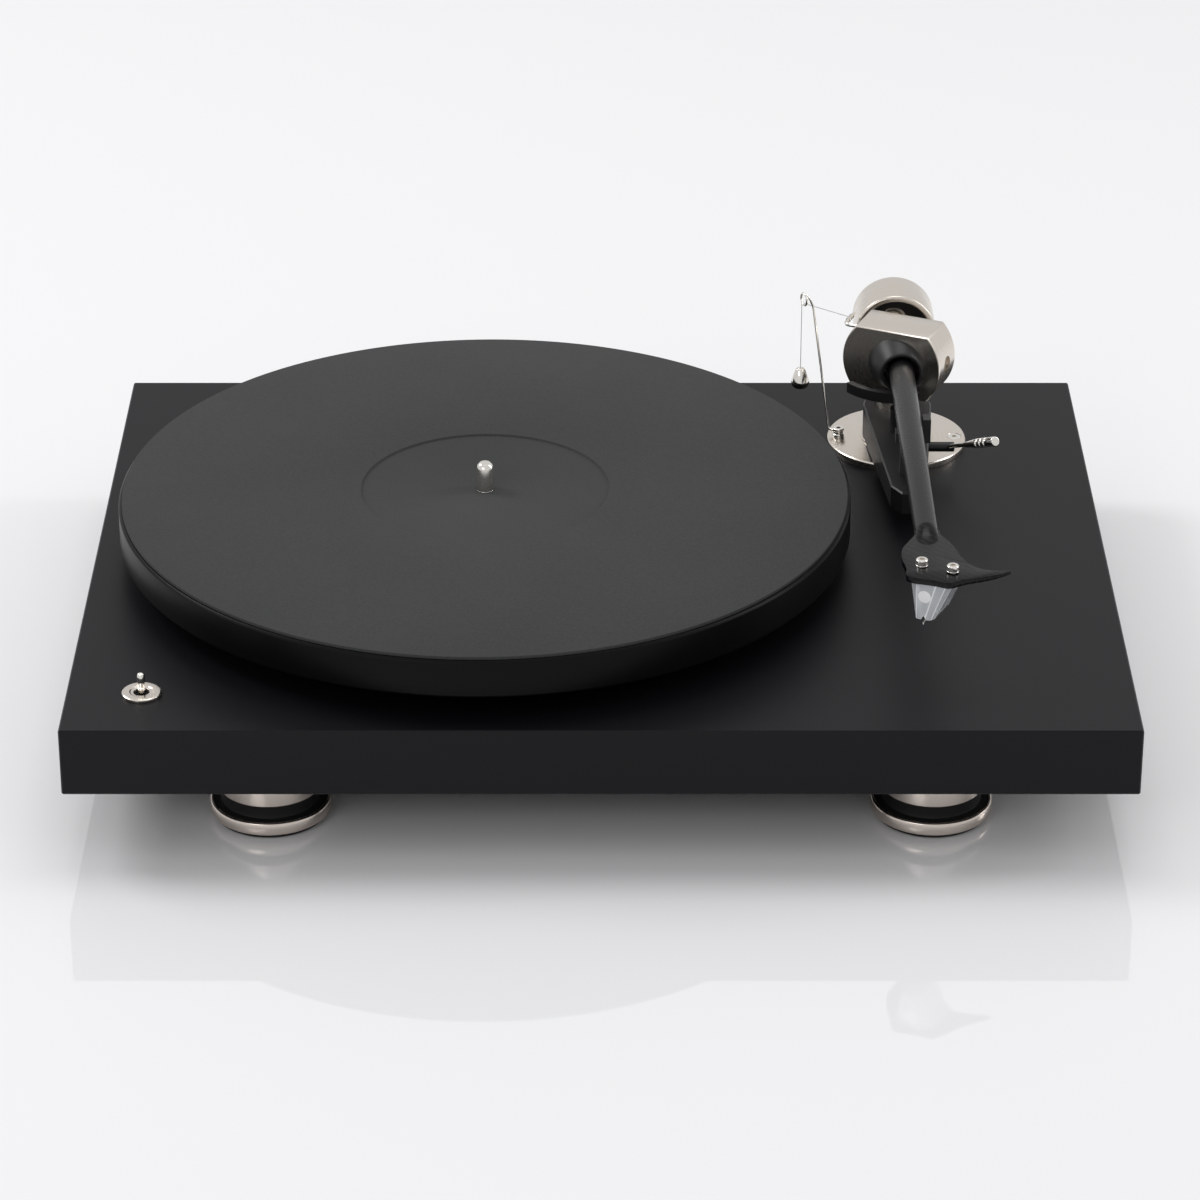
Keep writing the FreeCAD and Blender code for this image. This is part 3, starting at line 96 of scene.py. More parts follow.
# ---------------------------------------------------------------- modelling by hand
class Bench:
    """The hand tools that every piece is shaped with."""

    HANDLE = 0.45               # how far a wire's bend follows its runs towards their corner
    WIRE_ROUND = 5
    WIRE_STEPS = 10

    @staticmethod
    def clear() -> None:
        """Let go of every selected object."""
        bpy.ops.object.select_all(action="DESELECT")

    @staticmethod
    def hold(piece: bpy.types.Object) -> None:
        """Select one object alone and make it active.

        Args:
            piece: the object to select.
        """
        Bench.clear()
        piece.select_set(True)
        bpy.context.view_layer.objects.active = piece

    @staticmethod
    def settle(piece: bpy.types.Object, place: Optional[Matrix] = None) -> bpy.types.Object:
        """Put a piece in its place and move that place into its mesh.

        Args:
            piece: the object to settle.
            place: the turn and shift that it takes; none leaves it where it is.

        Returns:
            The same object, at the origin and unturned.
        """
        Bench.hold(piece)
        if place is not None:
            piece.matrix_world = place @ piece.matrix_world
        bpy.ops.object.transform_apply(location=True, rotation=True, scale=True)
        return piece

    @staticmethod
    def bevel(piece: bpy.types.Object, width: float, segments: int = 3, angle: float = 30,
              slot: int = -1) -> None:
        """Round a piece's sharp edges.

        Args:
            piece: the object to bevel.
            width: the width of each bevel.
            segments: how many strips round the edge.
            angle: edges sharper than this many degrees are rounded.
            slot: the material slot that the rounds take, or -1 for their neighbours'.
        """
        Bench.hold(piece)
        modifier = piece.modifiers.new("edges", "BEVEL")
        modifier.width = width
        modifier.segments = segments
        modifier.limit_method = "ANGLE"
        modifier.angle_limit = math.radians(angle)
        modifier.material = slot
        modifier.use_clamp_overlap = True
        bpy.ops.object.modifier_apply(modifier=modifier.name)

    @staticmethod
    def smooth(piece: bpy.types.Object, angle: float = 32) -> bpy.types.Object:
        """Shade a piece smooth, apart from its sharp edges.

        Args:
            piece: the object to shade.
            angle: edges sharper than this many degrees stay sharp.

        Returns:
            The same object.
        """
        Bench.hold(piece)
        bpy.ops.object.shade_smooth_by_angle(angle=math.radians(angle))
        return piece

    @staticmethod
    def tidy(piece: bpy.types.Object) -> None:
        """Merge doubled points and turn the faces outwards.

        Args:
            piece: the object to clean.
        """
        Bench.hold(piece)
        bpy.ops.object.mode_set(mode="EDIT")
        bpy.ops.mesh.select_all(action="SELECT")
        bpy.ops.mesh.remove_doubles(threshold=1e-6)
        bpy.ops.mesh.normals_make_consistent(inside=False)
        bpy.ops.object.mode_set(mode="OBJECT")

    @staticmethod
    def turn(name: str, profile: Outline, place: Optional[Matrix] = None, ring: bool = False,
             segments: int = 96, edge: float = 0.0) -> bpy.types.Object:
        """Turn a piece on the lathe from its profile.

        Args:
            name: the piece's name.
            profile: (radius, height) of each corner, in millimetres, from the bottom up.
            place: where the piece's axis and zero height go.
            ring: whether the profile is closed round a hole.
            segments: the number of sides round the axis.
            edge: the rounding of its edges, in millimetres.

        Returns:
            The finished object.
        """
        Bench.clear()
        radius, height = profile[0]
        bpy.ops.mesh.primitive_circle_add(vertices=segments, radius=radius * MM,
                                          fill_type="NOTHING" if ring else "NGON")
        piece = bpy.context.object
        piece.name = name
        piece.location.z = height * MM
        bpy.ops.object.transform_apply(location=True)
        bpy.ops.object.mode_set(mode="EDIT")
        bpy.ops.mesh.select_all(action="SELECT")
        corners = list(profile) + ([profile[0]] if ring else [])
        for (before, low), (after, high) in zip(corners, corners[1:]):
            grow = after / before
            bpy.ops.mesh.extrude_region_move(
                TRANSFORM_OT_translate={"value": (0, 0, (high - low) * MM)})
            bpy.ops.transform.resize(value=(grow, grow, 1), center_override=(0, 0, high * MM))
        bpy.ops.object.mode_set(mode="OBJECT")
        Bench.tidy(piece)
        if edge:
            Bench.bevel(piece, edge * MM)
        return Bench.smooth(Bench.settle(piece, place))

    @staticmethod
    def plate(name: str, outline: Outline, low: float, high: float, place: Optional[Matrix] = None,
              edge: float = 0.0, top: Optional[Outline] = None) -> bpy.types.Object:
        """Cut a plate to an outline and raise it, straight or to another outline.

        Args:
            name: the piece's name.
            outline: the corners in order, in millimetres.
            low: the height of the underside, in millimetres.
            high: the height of the top, in millimetres.
            place: where the plate goes.
            edge: the rounding of its edges, in millimetres.
            top: the corners of the top, where they differ.

        Returns:
            The finished object.
        """
        Bench.clear()
        bpy.ops.mesh.primitive_circle_add(vertices=len(outline), radius=MM, fill_type="NGON")
        piece = bpy.context.object
        piece.name = name
        for point, (x, y) in zip(piece.data.vertices, outline):
            point.co = (x * MM, y * MM, low * MM)
        bpy.ops.object.mode_set(mode="EDIT")
        bpy.ops.mesh.select_all(action="SELECT")
        bpy.ops.mesh.extrude_region_move(
            TRANSFORM_OT_translate={"value": (0, 0, (high - low) * MM)})
        bpy.ops.object.mode_set(mode="OBJECT")
        if top:
            raised = [point for point in piece.data.vertices if point.co.z > (low + high) / 2 * MM]
            for (x, y), (new_x, new_y) in zip(outline, top):
                spot = Vector((x * MM, y * MM, high * MM))
                nearest = min(raised, key=lambda point: (point.co - spot).length)
                raised.remove(nearest)
                nearest.co = (new_x * MM, new_y * MM, high * MM)
        Bench.tidy(piece)
        if edge:
            Bench.bevel(piece, edge * MM)
        return Bench.smooth(Bench.settle(piece, place))

    @staticmethod
    def carve(piece: bpy.types.Object, tool: bpy.types.Object) -> None:
        """Cut one object out of another and throw the tool away.

        Args:
            piece: the object that is cut.
            tool: the object that cuts it.
        """
        Bench.hold(piece)
        modifier = piece.modifiers.new("carve", "BOOLEAN")
        modifier.operation = "DIFFERENCE"
        modifier.solver = "EXACT"
        modifier.object = tool
        bpy.ops.object.modifier_apply(modifier=modifier.name)
        bpy.data.objects.remove(tool)

    @staticmethod
    def key(screw: bpy.types.Object, radius: float, low: float, high: float) -> None:
        """Cut the socket for a hexagon key into a screw that stands at the origin.

        Args:
            screw: the screw.
            radius: the socket's radius over its corners, in millimetres.
            low: the height of the socket's floor, in millimetres.
            high: a height above the screw's head, in millimetres.
        """
        Bench.carve(screw, Bench.turn("key", [(radius, low), (radius, high)], segments=KEY_SIDES))
        Bench.smooth(screw)

    @staticmethod
    def copies(pattern: bpy.types.Object, places: dict[str, Matrix]) -> list[bpy.types.Object]:
        """Copy a piece from the origin to its places, and throw the pattern away.

        Args:
            pattern: the piece, made at the origin.
            places: the place of each copy, by its name.

        Returns:
            The copies in order, each with its own mesh.
        """
        made: list[bpy.types.Object] = []
        for name, place in places.items():
            Bench.hold(pattern)
            bpy.ops.object.duplicate()
            twin = bpy.context.object
            twin.name = name
            made.append(Bench.settle(twin, place))
        bpy.data.objects.remove(pattern)
        return made

    @staticmethod
    def slice(piece: bpy.types.Object, spot: Vector, normal: Vector) -> None:
        """Cut away what lies beyond a plane and close the cut.

        Args:
            piece: the object that is cut.
            spot: a point on the plane.
            normal: the direction of what is cut away.
        """
        Bench.hold(piece)
        bpy.ops.object.mode_set(mode="EDIT")
        bpy.ops.mesh.select_all(action="SELECT")
        bpy.ops.mesh.bisect(plane_co=spot, plane_no=normal, use_fill=True, clear_outer=True)
        bpy.ops.object.mode_set(mode="OBJECT")

    @staticmethod
    def wire(name: str, spots: Sequence[Vector], radius: float,
             bend: float = 0.0) -> bpy.types.Object:
        """Bend a round wire through its corners.

        Args:
            name: the piece's name.
            spots: the wire's ends and corners.
            radius: the wire's radius, in millimetres.
            bend: the length of straight that each corner gives up, in millimetres.

        Returns:
            The wire as a mesh with closed ends.
        """
        Bench.clear()
        bpy.ops.curve.primitive_bezier_curve_add()
        piece = bpy.context.object
        piece.name = name
        path = piece.data
        path.splines.clear()
        path.dimensions = "3D"
        line = path.splines.new("BEZIER")
        stops: list[tuple[Vector, Vector, Vector]] = []
        for index, spot in enumerate(spots):
            if index in (0, len(spots) - 1) or not bend:
                stops.append((spot, spot, spot))
                continue
            back = (spots[index - 1] - spot).normalized() * bend * MM
            ahead = (spots[index + 1] - spot).normalized() * bend * MM
            stops.append((spot + back, spot + back, spot + back * Bench.HANDLE))
            stops.append((spot + ahead, spot + ahead * Bench.HANDLE, spot + ahead))
        line.bezier_points.add(len(stops) - 1)
        for point, (place, left, right) in zip(line.bezier_points, stops):
            point.co, point.handle_left, point.handle_right = place, left, right
        path.bevel_depth = radius * MM
        path.bevel_resolution = Bench.WIRE_ROUND
        path.use_fill_caps = True
        path.resolution_u = Bench.WIRE_STEPS
        bpy.ops.object.convert(target="MESH")
        piece = bpy.context.object
        Bench.tidy(piece)
        return Bench.smooth(Bench.settle(piece), 60)


def stand(spot: Vector, along: Vector = UP) -> Matrix:
    """The place of a piece whose axis starts at a spot and runs along a direction."""
    turn = UP.rotation_difference(along.normalized())
    return Matrix.Translation(spot) @ turn.to_matrix().to_4x4()


def above(spot: Vector, height: float) -> Vector:
    """The place over a spot at a height above the deck, in millimetres."""
    return Vector((spot.x, spot.y, DECK + height * MM))


def from_base(*shift: float) -> Vector:
    """A place given from the deck under the arm's pivot, in millimetres."""
    return above(PIVOT, 0) + Vector(shift) * MM


def first(index: int, node: str) -> tuple[str, ...]:
    """The node that the first of several like pieces stands for; the others stand for none."""
    return (node,) if index == 0 else ()


# ---------------------------------------------------------------- finishes
FIRST_NUMBER, SECOND_NUMBER = 2, 3                      # a Mix node's number sockets
FIRST_COLOUR, SECOND_COLOUR, MIXED_COLOUR = 6, 7, 2     # its colour sockets
THREADS_PER_RIB = 2.6                                   # of the carbon cloth


class Effect(Enum):
    """The surface effects that finishes share, each named as the method that builds it."""

    SPECKLE = "speckle"
    LATHE = "lathe_marks"
    TWILL = "twill"


def join(tree: bpy.types.NodeTree,
         *pairs: tuple[bpy.types.NodeSocket, bpy.types.NodeSocket]) -> None:
    """Link each pair of an output and an input.

    Args:
        tree: the nodes' tree.
        pairs: the sockets to link, output first.
    """
    for output, socket in pairs:
        tree.links.new(output, socket)


def add(tree: bpy.types.NodeTree, kind: str, values: Optional[dict[str | int, object]] = None,
        **settings: object) -> bpy.types.Node:
    """Add a shader node.

    Args:
        tree: the tree that it goes in.
        kind: its type, without the ShaderNode that every type starts with.
        values: what its input sockets are set to.
        settings: what its other properties are set to.

    Returns:
        The new node.
    """
    node = tree.nodes.new(f"ShaderNode{kind}")
    for name, setting in settings.items():
        setattr(node, name, setting)
    for socket, value in (values or {}).items():
        node.inputs[socket].default_value = value
    return node


class Effects:
    """Builds each shared effect once, as a node group."""

    @staticmethod
    def start(effect: Effect, values: dict[str, float]
              ) -> tuple[bpy.types.NodeTree, bpy.types.Node, bpy.types.Node]:
        """Start a group with a Vector input, number inputs and a Mask output.

        Args:
            effect: the effect that the group is for.
            values: each number input's usual value, by its name.

        Returns:
            The group, its input node and its output node.
        """
        tree = bpy.data.node_groups.new(effect.value, "ShaderNodeTree")
        tree.interface.new_socket(name="Vector", in_out="INPUT", socket_type="NodeSocketVector")
        for label, value in values.items():
            socket = tree.interface.new_socket(name=label, in_out="INPUT",
                                               socket_type="NodeSocketFloat")
            socket.default_value = value
        tree.interface.new_socket(name="Mask", in_out="OUTPUT", socket_type="NodeSocketFloat")
        return tree, tree.nodes.new("NodeGroupInput"), tree.nodes.new("NodeGroupOutput")

    @staticmethod
    def speckle() -> bpy.types.NodeTree:
        """Fine grain over broad patches, for paint, felt and cast parts.

        Returns:
            The group.
        """
        tree, source, sink = Effects.start(Effect.SPECKLE, {"Scale": 1000.0, "Patches": 0.3})
        fine = add(tree, "TexNoise", {"Detail": 3})
        broad = add(tree, "TexNoise", {"Scale": 14, "Detail": 4})
        mix = add(tree, "Mix")
        join(tree, (source.outputs["Vector"], fine.inputs["Vector"]),
             (source.outputs["Vector"], broad.inputs["Vector"]),
             (source.outputs["Scale"], fine.inputs["Scale"]),
             (source.outputs["Patches"], mix.inputs["Factor"]),
             (fine.outputs["Fac"], mix.inputs[FIRST_NUMBER]),
             (broad.outputs["Fac"], mix.inputs[SECOND_NUMBER]),
             (mix.outputs[0], sink.inputs["Mask"]))
        return tree

    @staticmethod
    def lathe_marks() -> bpy.types.NodeTree:
        """Fine rings round the local Z axis and fine lines across it.

        Returns:
            The group.
        """
        tree, source, sink = Effects.start(Effect.LATHE, {"Scale": 4000.0})
        split = add(tree, "SeparateXYZ")
        flat = add(tree, "CombineXYZ")
        reach = add(tree, "VectorMath", operation="LENGTH")
        total = add(tree, "Math", operation="ADD")
        rings = add(tree, "TexNoise", {"Detail": 4}, noise_dimensions="1D")
        join(tree, (source.outputs["Vector"], split.inputs[0]),
             (split.outputs["X"], flat.inputs["X"]), (split.outputs["Y"], flat.inputs["Y"]),
             (flat.outputs[0], reach.inputs[0]), (reach.outputs["Value"], total.inputs[0]),
             (split.outputs["Z"], total.inputs[1]), (total.outputs[0], rings.inputs["W"]),
             (source.outputs["Scale"], rings.inputs["Scale"]),
             (rings.outputs["Fac"], sink.inputs["Mask"]))
        return tree

    @staticmethod
    def twill() -> bpy.types.NodeTree:
        """Diagonal ribs crossed by finer threads, for carbon cloth.

        Returns:
            The group.
        """
        tree, source, sink = Effects.start(Effect.TWILL, {"Scale": 200.0})
        ribs = add(tree, "TexWave", {"Distortion": 0.6}, bands_direction="DIAGONAL")
        threads = add(tree, "TexWave", {"Distortion": 0.4}, bands_direction="Y")
        finer = add(tree, "Math", {1: THREADS_PER_RIB}, operation="MULTIPLY")
        both = add(tree, "Math", operation="MULTIPLY")
        join(tree, (source.outputs["Vector"], ribs.inputs["Vector"]),
             (source.outputs["Vector"], threads.inputs["Vector"]),
             (source.outputs["Scale"], ribs.inputs["Scale"]),
             (source.outputs["Scale"], finer.inputs[0]),
             (finer.outputs[0], threads.inputs["Scale"]),
             (ribs.outputs["Fac"], both.inputs[0]), (threads.outputs["Fac"], both.inputs[1]),
             (both.outputs[0], sink.inputs["Mask"]))
        return tree

    @staticmethod
    def get(effect: Effect) -> bpy.types.NodeTree:
        """The group of an effect, built by its method the first time that it is asked for."""
        return bpy.data.node_groups.get(effect.value) or getattr(Effects, effect.value)()


@dataclass(frozen=True)
class Finish:
    """One surface: its colours, its shine and the effect that breaks both up.

    Bump depth is in metres, and centre and lean place the effect on the piece.
    """

    name: str
    dark: Triple
    light: Triple
    rough: tuple[float, float] = (0.4, 0.5)
    metallic: float = 0.0
    effect: Effect = Effect.SPECKLE
    scale: float = 900.0
    bump: float = 0.05
    depth: float = 0.00002
    coat: float = 0.0
    coat_rough: float = 0.06
    sheen: float = 0.0
    sheen_rough: float = 0.45
    transmission: float = 0.0
    specular: float = 0.5
    centre: Vector = field(default_factory=Vector)
    lean: Triple = (0.0, 0.0, 0.0)

    def material(self) -> bpy.types.Material:
        """The finished material, built the first time that it is asked for."""
        return bpy.data.materials.get(self.name) or self.build()

    def build(self) -> bpy.types.Material:
        """Wire the effect into the colour, roughness and bump of a Principled shader.

        Returns:
            The new material.
        """
        material = bpy.data.materials.new(self.name)
        material.use_nodes = True
        tree = material.node_tree
        shader = tree.nodes["Principled BSDF"]
        for label, value in (
                ("Metallic", self.metallic), ("Coat Weight", self.coat),
                ("Coat Roughness", self.coat_rough), ("Sheen Weight", self.sheen),
                ("Sheen Roughness", self.sheen_rough), ("Transmission Weight", self.transmission),
                ("Specular IOR Level", self.specular)):
            shader.inputs[label].default_value = value
        place = add(tree, "TexCoord")
        centre = add(tree, "Mapping", {"Location": self.centre, "Rotation": self.lean},
                     vector_type="TEXTURE")
        group = add(tree, "Group", {"Scale": self.scale}, node_tree=Effects.get(self.effect))
        colour = add(tree, "Mix", {FIRST_COLOUR: (*self.dark, 1), SECOND_COLOUR: (*self.light, 1)},
                     data_type="RGBA")
        shine = add(tree, "MapRange", {"To Min": self.rough[0], "To Max": self.rough[1]})
        bump = add(tree, "Bump", {"Strength": self.bump, "Distance": self.depth})
        mask = group.outputs["Mask"]
        join(tree, (place.outputs["Object"], centre.inputs["Vector"]),
             (centre.outputs["Vector"], group.inputs["Vector"]), (mask, colour.inputs["Factor"]),
             (mask, shine.inputs["Value"]), (mask, bump.inputs["Height"]),
             (colour.outputs[MIXED_COLOUR], shader.inputs["Base Color"]),
             (shine.outputs["Result"], shader.inputs["Roughness"]),
             (bump.outputs["Normal"], shader.inputs["Normal"]))
        return material


def metal(name: str, tint: Triple, rough: float, centre: Vector = Vector(),
          lean: Triple = (0.0, 0.0, 0.0), scale: float = 3000.0) -> Finish:
    """A turned metal whose fine rings run round an axis.

    Args:
        name: the finish's name.
        tint: its colour.
        rough: its mean roughness.
        centre: a place on the axis.
        lean: how the axis is turned away from upright.
        scale: how fine the rings are.

    Returns:
        The finish.
    """
    dark = tuple(level * 0.9 for level in tint)
    return Finish(name, dark, tint, (rough * 0.8, rough * 1.25), 1.0, Effect.LATHE, scale, 0.1,
                  0.00001, centre=centre, lean=lean)


# the tints of the plated metals, and how the axes of the block and the arm lean
NICKEL = (0.80, 0.74, 0.67)
BRIGHT = (0.90, 0.87, 0.82)
FOOT_NICKEL = (0.74, 0.66, 0.60)
BLOCK_LEAN = (math.pi / 2, 0.0, -OFFSET)
ARM_LEAN = (math.pi / 2 - SLOPE, 0.0, 0.0)
LACQUER = Finish("satin_black_lacquer", (0.0022, 0.0022, 0.0034), (0.0036, 0.0036, 0.0050),
                 (0.38, 0.44), scale=1800, bump=0.03, specular=0.2)
PLATTER_BLACK = Finish("platter_satin_black", (0.0022, 0.0022, 0.0023), (0.0036, 0.0036, 0.0038),
                       (0.32, 0.40), scale=2200, bump=0.05, specular=0.10)
FELT = Finish("felt_mat", (0.020, 0.0205, 0.0205), (0.060, 0.061, 0.061), (0.8, 0.95), scale=1500,
              bump=0.7, depth=0.00015, sheen=0.05, specular=0.15)
SOFT_BLACK = Finish("anodised_black", (0.005, 0.005, 0.0055), (0.009, 0.009, 0.01), (0.36, 0.46),
                    scale=1500, bump=0.06, specular=0.4)
RUBBER = Finish("rubber", (0.004, 0.004, 0.004), (0.008, 0.008, 0.008), (0.5, 0.65), scale=1400,
                bump=0.1, specular=0.3)
PLASTIC = Finish("black_plastic", (0.012, 0.012, 0.013), (0.02, 0.02, 0.021), (0.45, 0.6),
                 scale=1700, bump=0.15)
CARBON = Finish("carbon_tube", (0.003, 0.003, 0.0035), (0.009, 0.009, 0.010), (0.26, 0.34),
                effect=Effect.TWILL, scale=420, bump=0.06, depth=0.00003, specular=0.45)
GLOSS_CARBON = Finish("carbon_headshell", (0.0015, 0.0015, 0.002), (0.007, 0.007, 0.0085),
                      (0.20, 0.30), effect=Effect.TWILL, scale=150, bump=0.22, depth=0.0001,
                      coat=0.08, specular=0.14)
CRYSTAL = Finish("clear_housing", (0.66, 0.68, 0.72), (0.84, 0.86, 0.9), (0.06, 0.14), scale=300,
                 bump=0.02, transmission=0.5)
# a brighter frosted clear for the flange, the core and the diamond; on the housing's bevels it is a
# painted highlight along the edges
FROSTED_CLEAR_AND_HIGHLIGHT = Finish("frosted_clear_and_painted_highlight", (0.85, 0.87, 0.9), (0.95, 0.96, 0.97), (0.3, 0.45),
                      scale=900, bump=0.05, transmission=0.15)
WHITE_MARK = Finish("white_dot", (0.82, 0.82, 0.83), (0.88, 0.88, 0.88), (0.4, 0.5), bump=0.02)
BOARD = Finish("printed_board", (0.008, 0.05, 0.02), (0.012, 0.075, 0.03), (0.35, 0.5), scale=400,
               bump=0.2)
THREAD = Finish("nylon_thread", (0.55, 0.55, 0.55), (0.8, 0.8, 0.8), (0.3, 0.4), scale=3000,
                bump=0.1, transmission=0.2)
INSULATOR = Finish("white_insulator", (0.7, 0.7, 0.68), (0.78, 0.78, 0.76), (0.35, 0.5), bump=0.03)
STEEL = metal("turned_steel", (0.62, 0.62, 0.62), 0.2)
BRASS = metal("turned_brass", (0.72, 0.52, 0.24), 0.22)
POLISHED = metal("polished_nickel", BRIGHT, 0.1)
BASE_NICKEL = metal("base_nickel", NICKEL, 0.24, PIVOT)
BLOCK_NICKEL = metal("block_nickel", NICKEL, 0.24, PIVOT, BLOCK_LEAN)
WEIGHT_NICKEL = metal("weight_nickel", NICKEL, 0.26, PIVOT, ARM_LEAN)
SPINDLE_STEEL = metal("spindle_steel", BRIGHT, 0.14, SPINDLE)
SWITCH_NICKEL = metal("switch_nickel", NICKEL, 0.2, SWITCH)

NODE_FINISHES: dict[str, Finish] = {
    "plinth": LACQUER, "underside_cover": SOFT_BLACK, "underside_screws": STEEL,
    "motor_body": STEEL, "motor_mount": SOFT_BLACK, "control_board": BOARD,
    "switch_body": PLASTIC, "power_inlet": PLASTIC, "terminal_box": SOFT_BLACK,
    "signal_socket_shells": BRASS, "signal_socket_insulators": INSULATOR,
    "ground_terminal": BRASS, "bearing_housing": STEEL, "bearing_bush": BRASS,
    "drive_belt": RUBBER, "arm_pillar": BASE_NICKEL, "pillar_nut": BRASS, "yaw_bearings": STEEL,
    "lift_bracket": SOFT_BLACK, "lift_tower": SOFT_BLACK, "lift_platform": SOFT_BLACK,
    "arm_rest": PLASTIC, "platter_damping_ring": RUBBER, "sub_platter": PLASTIC,
    "motor_pulley": BRASS, "motor_shaft": STEEL, "yaw_spindle": STEEL,
}


def dress(piece: bpy.types.Object, *finishes: Finish) -> bpy.types.Object:
    """Give an object its materials.

    Args:
        piece: the object to dress.
        finishes: its finishes, in the order of its slots.

    Returns:
        The same object.
    """
    piece.data.materials.clear()
    for finish in finishes:
        piece.data.materials.append(finish.material())
    return piece


def seat(piece: bpy.types.Object, body: str, slot: str, finish: Finish,
         *nodes: str) -> bpy.types.Object:
    """Dress a finished piece, tie it to its body and hide the nodes that it stands for.

    Args:
        piece: the finished object.
        body: the CAD body that it rides on.
        slot: the record's material slot; not used.
        finish: its finish.
        nodes: the CAD nodes that it stands for.

    Returns:
        The same object.
    """
    if not piece.data.materials:
        dress(piece, finish)
    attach(piece, body)
    if nodes:
        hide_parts(*nodes)
    log.info("%s on %s", piece.name, body)
    return piece


# ---------------------------------------------------------------- sub-assemblies
@dataclass
class Platter:
    """The platter, its felt mat and the spindle."""

    radius: float = 150.0
    low: float = 8.7
    seat_height: float = 12.0
    top: float = 24.6
    mat_top: float = 26.0
    mat_radius: float = 148.6
    label_radius: float = 51.0
    label_depth: float = 0.9
    bore: float = 3.7
    pocket: float = 63.5
    groove: tuple[float, float, float] = (116.0, 130.0, 14.7)
    chamfer: float = 0.9
    mat_gap: float = 0.02
    spindle_radius: float = 3.6
    spindle_top: float = 37.0
    shaft_radius: float = 5.0
    shaft_low: float = -33.45
    segments: int = 256

    def build(self) -> None:
        """Turn the platter, the mat and the spindle."""
        inner, outer, ceiling = self.groove
        place = stand(above(SPINDLE, 0))
        disc = Bench.turn("platter_disc", [
            (self.bore, self.seat_height), (self.pocket, self.seat_height), (self.pocket, self.low),
            (inner, self.low), (inner, ceiling), (outer, ceiling), (outer, self.low),
            (self.radius - self.chamfer, self.low), (self.radius, self.low + self.chamfer),
            (self.radius, self.top - self.chamfer), (self.radius - self.chamfer, self.top),
            (self.bore, self.top)], place, ring=True, segments=self.segments, edge=0.22)
        seat(disc, "platter_body", "platter_black", PLATTER_BLACK, "platter")
        floor = self.mat_top - self.label_depth
        mat = Bench.turn("felt_mat", [
            (self.bore, self.top + self.mat_gap), (self.mat_radius, self.top + self.mat_gap),
            (self.mat_radius, self.mat_top), (self.label_radius, self.mat_top),
            (self.label_radius - 0.5, floor), (self.bore, floor)], place, ring=True,
            segments=self.segments, edge=0.25)
        seat(mat, "platter_body", "felt_grey", FELT, "platter_mat")
        r, top, shaft = self.spindle_radius, self.spindle_top, self.shaft_radius
        root = r + 0.05
        pin = Bench.turn("record_spindle", [
            (2.0, self.shaft_low), (shaft, self.shaft_low + 1.95), (shaft, self.seat_height),
            (root, self.seat_height), (root, self.top + 0.6), (r, self.top + 0.65), (r, top - 2.0),
            (r - 0.6, top - 0.7), (r - 1.4, top)], place, edge=0.15)
        seat(pin, "platter_body", "steel", SPINDLE_STEEL, "spindle")


@dataclass
class PowerSwitch:
    """The toggle switch's bezel and lever."""

    bezel_radius: float = 7.75
    hole: float = 3.1
    tip: float = 9.4

    def build(self) -> None:
        """Turn the bezel and the lever."""
        place = stand(above(SWITCH, 0))
        bezel = Bench.turn("switch_washer", [
            (self.hole, 0.0), (self.bezel_radius, 0.0), (self.bezel_radius, 1.2),
            (self.bezel_radius - 0.5, 1.5), (self.hole + 1.6, 1.5), (self.hole + 1.2, 1.15),
            (self.hole, 1.15)], place, ring=True, edge=0.12)
        seat(bezel, "plinth_body", "nickel_bright", SWITCH_NICKEL, "switch_bezel")
        lever = Bench.turn("switch_lever", [
            (1.0, -4.5), (2.2, -3.4), (2.35, -2.2), (1.9, -0.9), (1.25, 0.0), (1.35, 4.6),
            (1.5, 6.4), (1.5, self.tip - 1.0), (1.15, self.tip - 0.3), (0.5, self.tip)], place,
            segments=48, edge=0.2)
        seat(lever, "toggle_body", "nickel_bright", POLISHED, "toggle_lever")


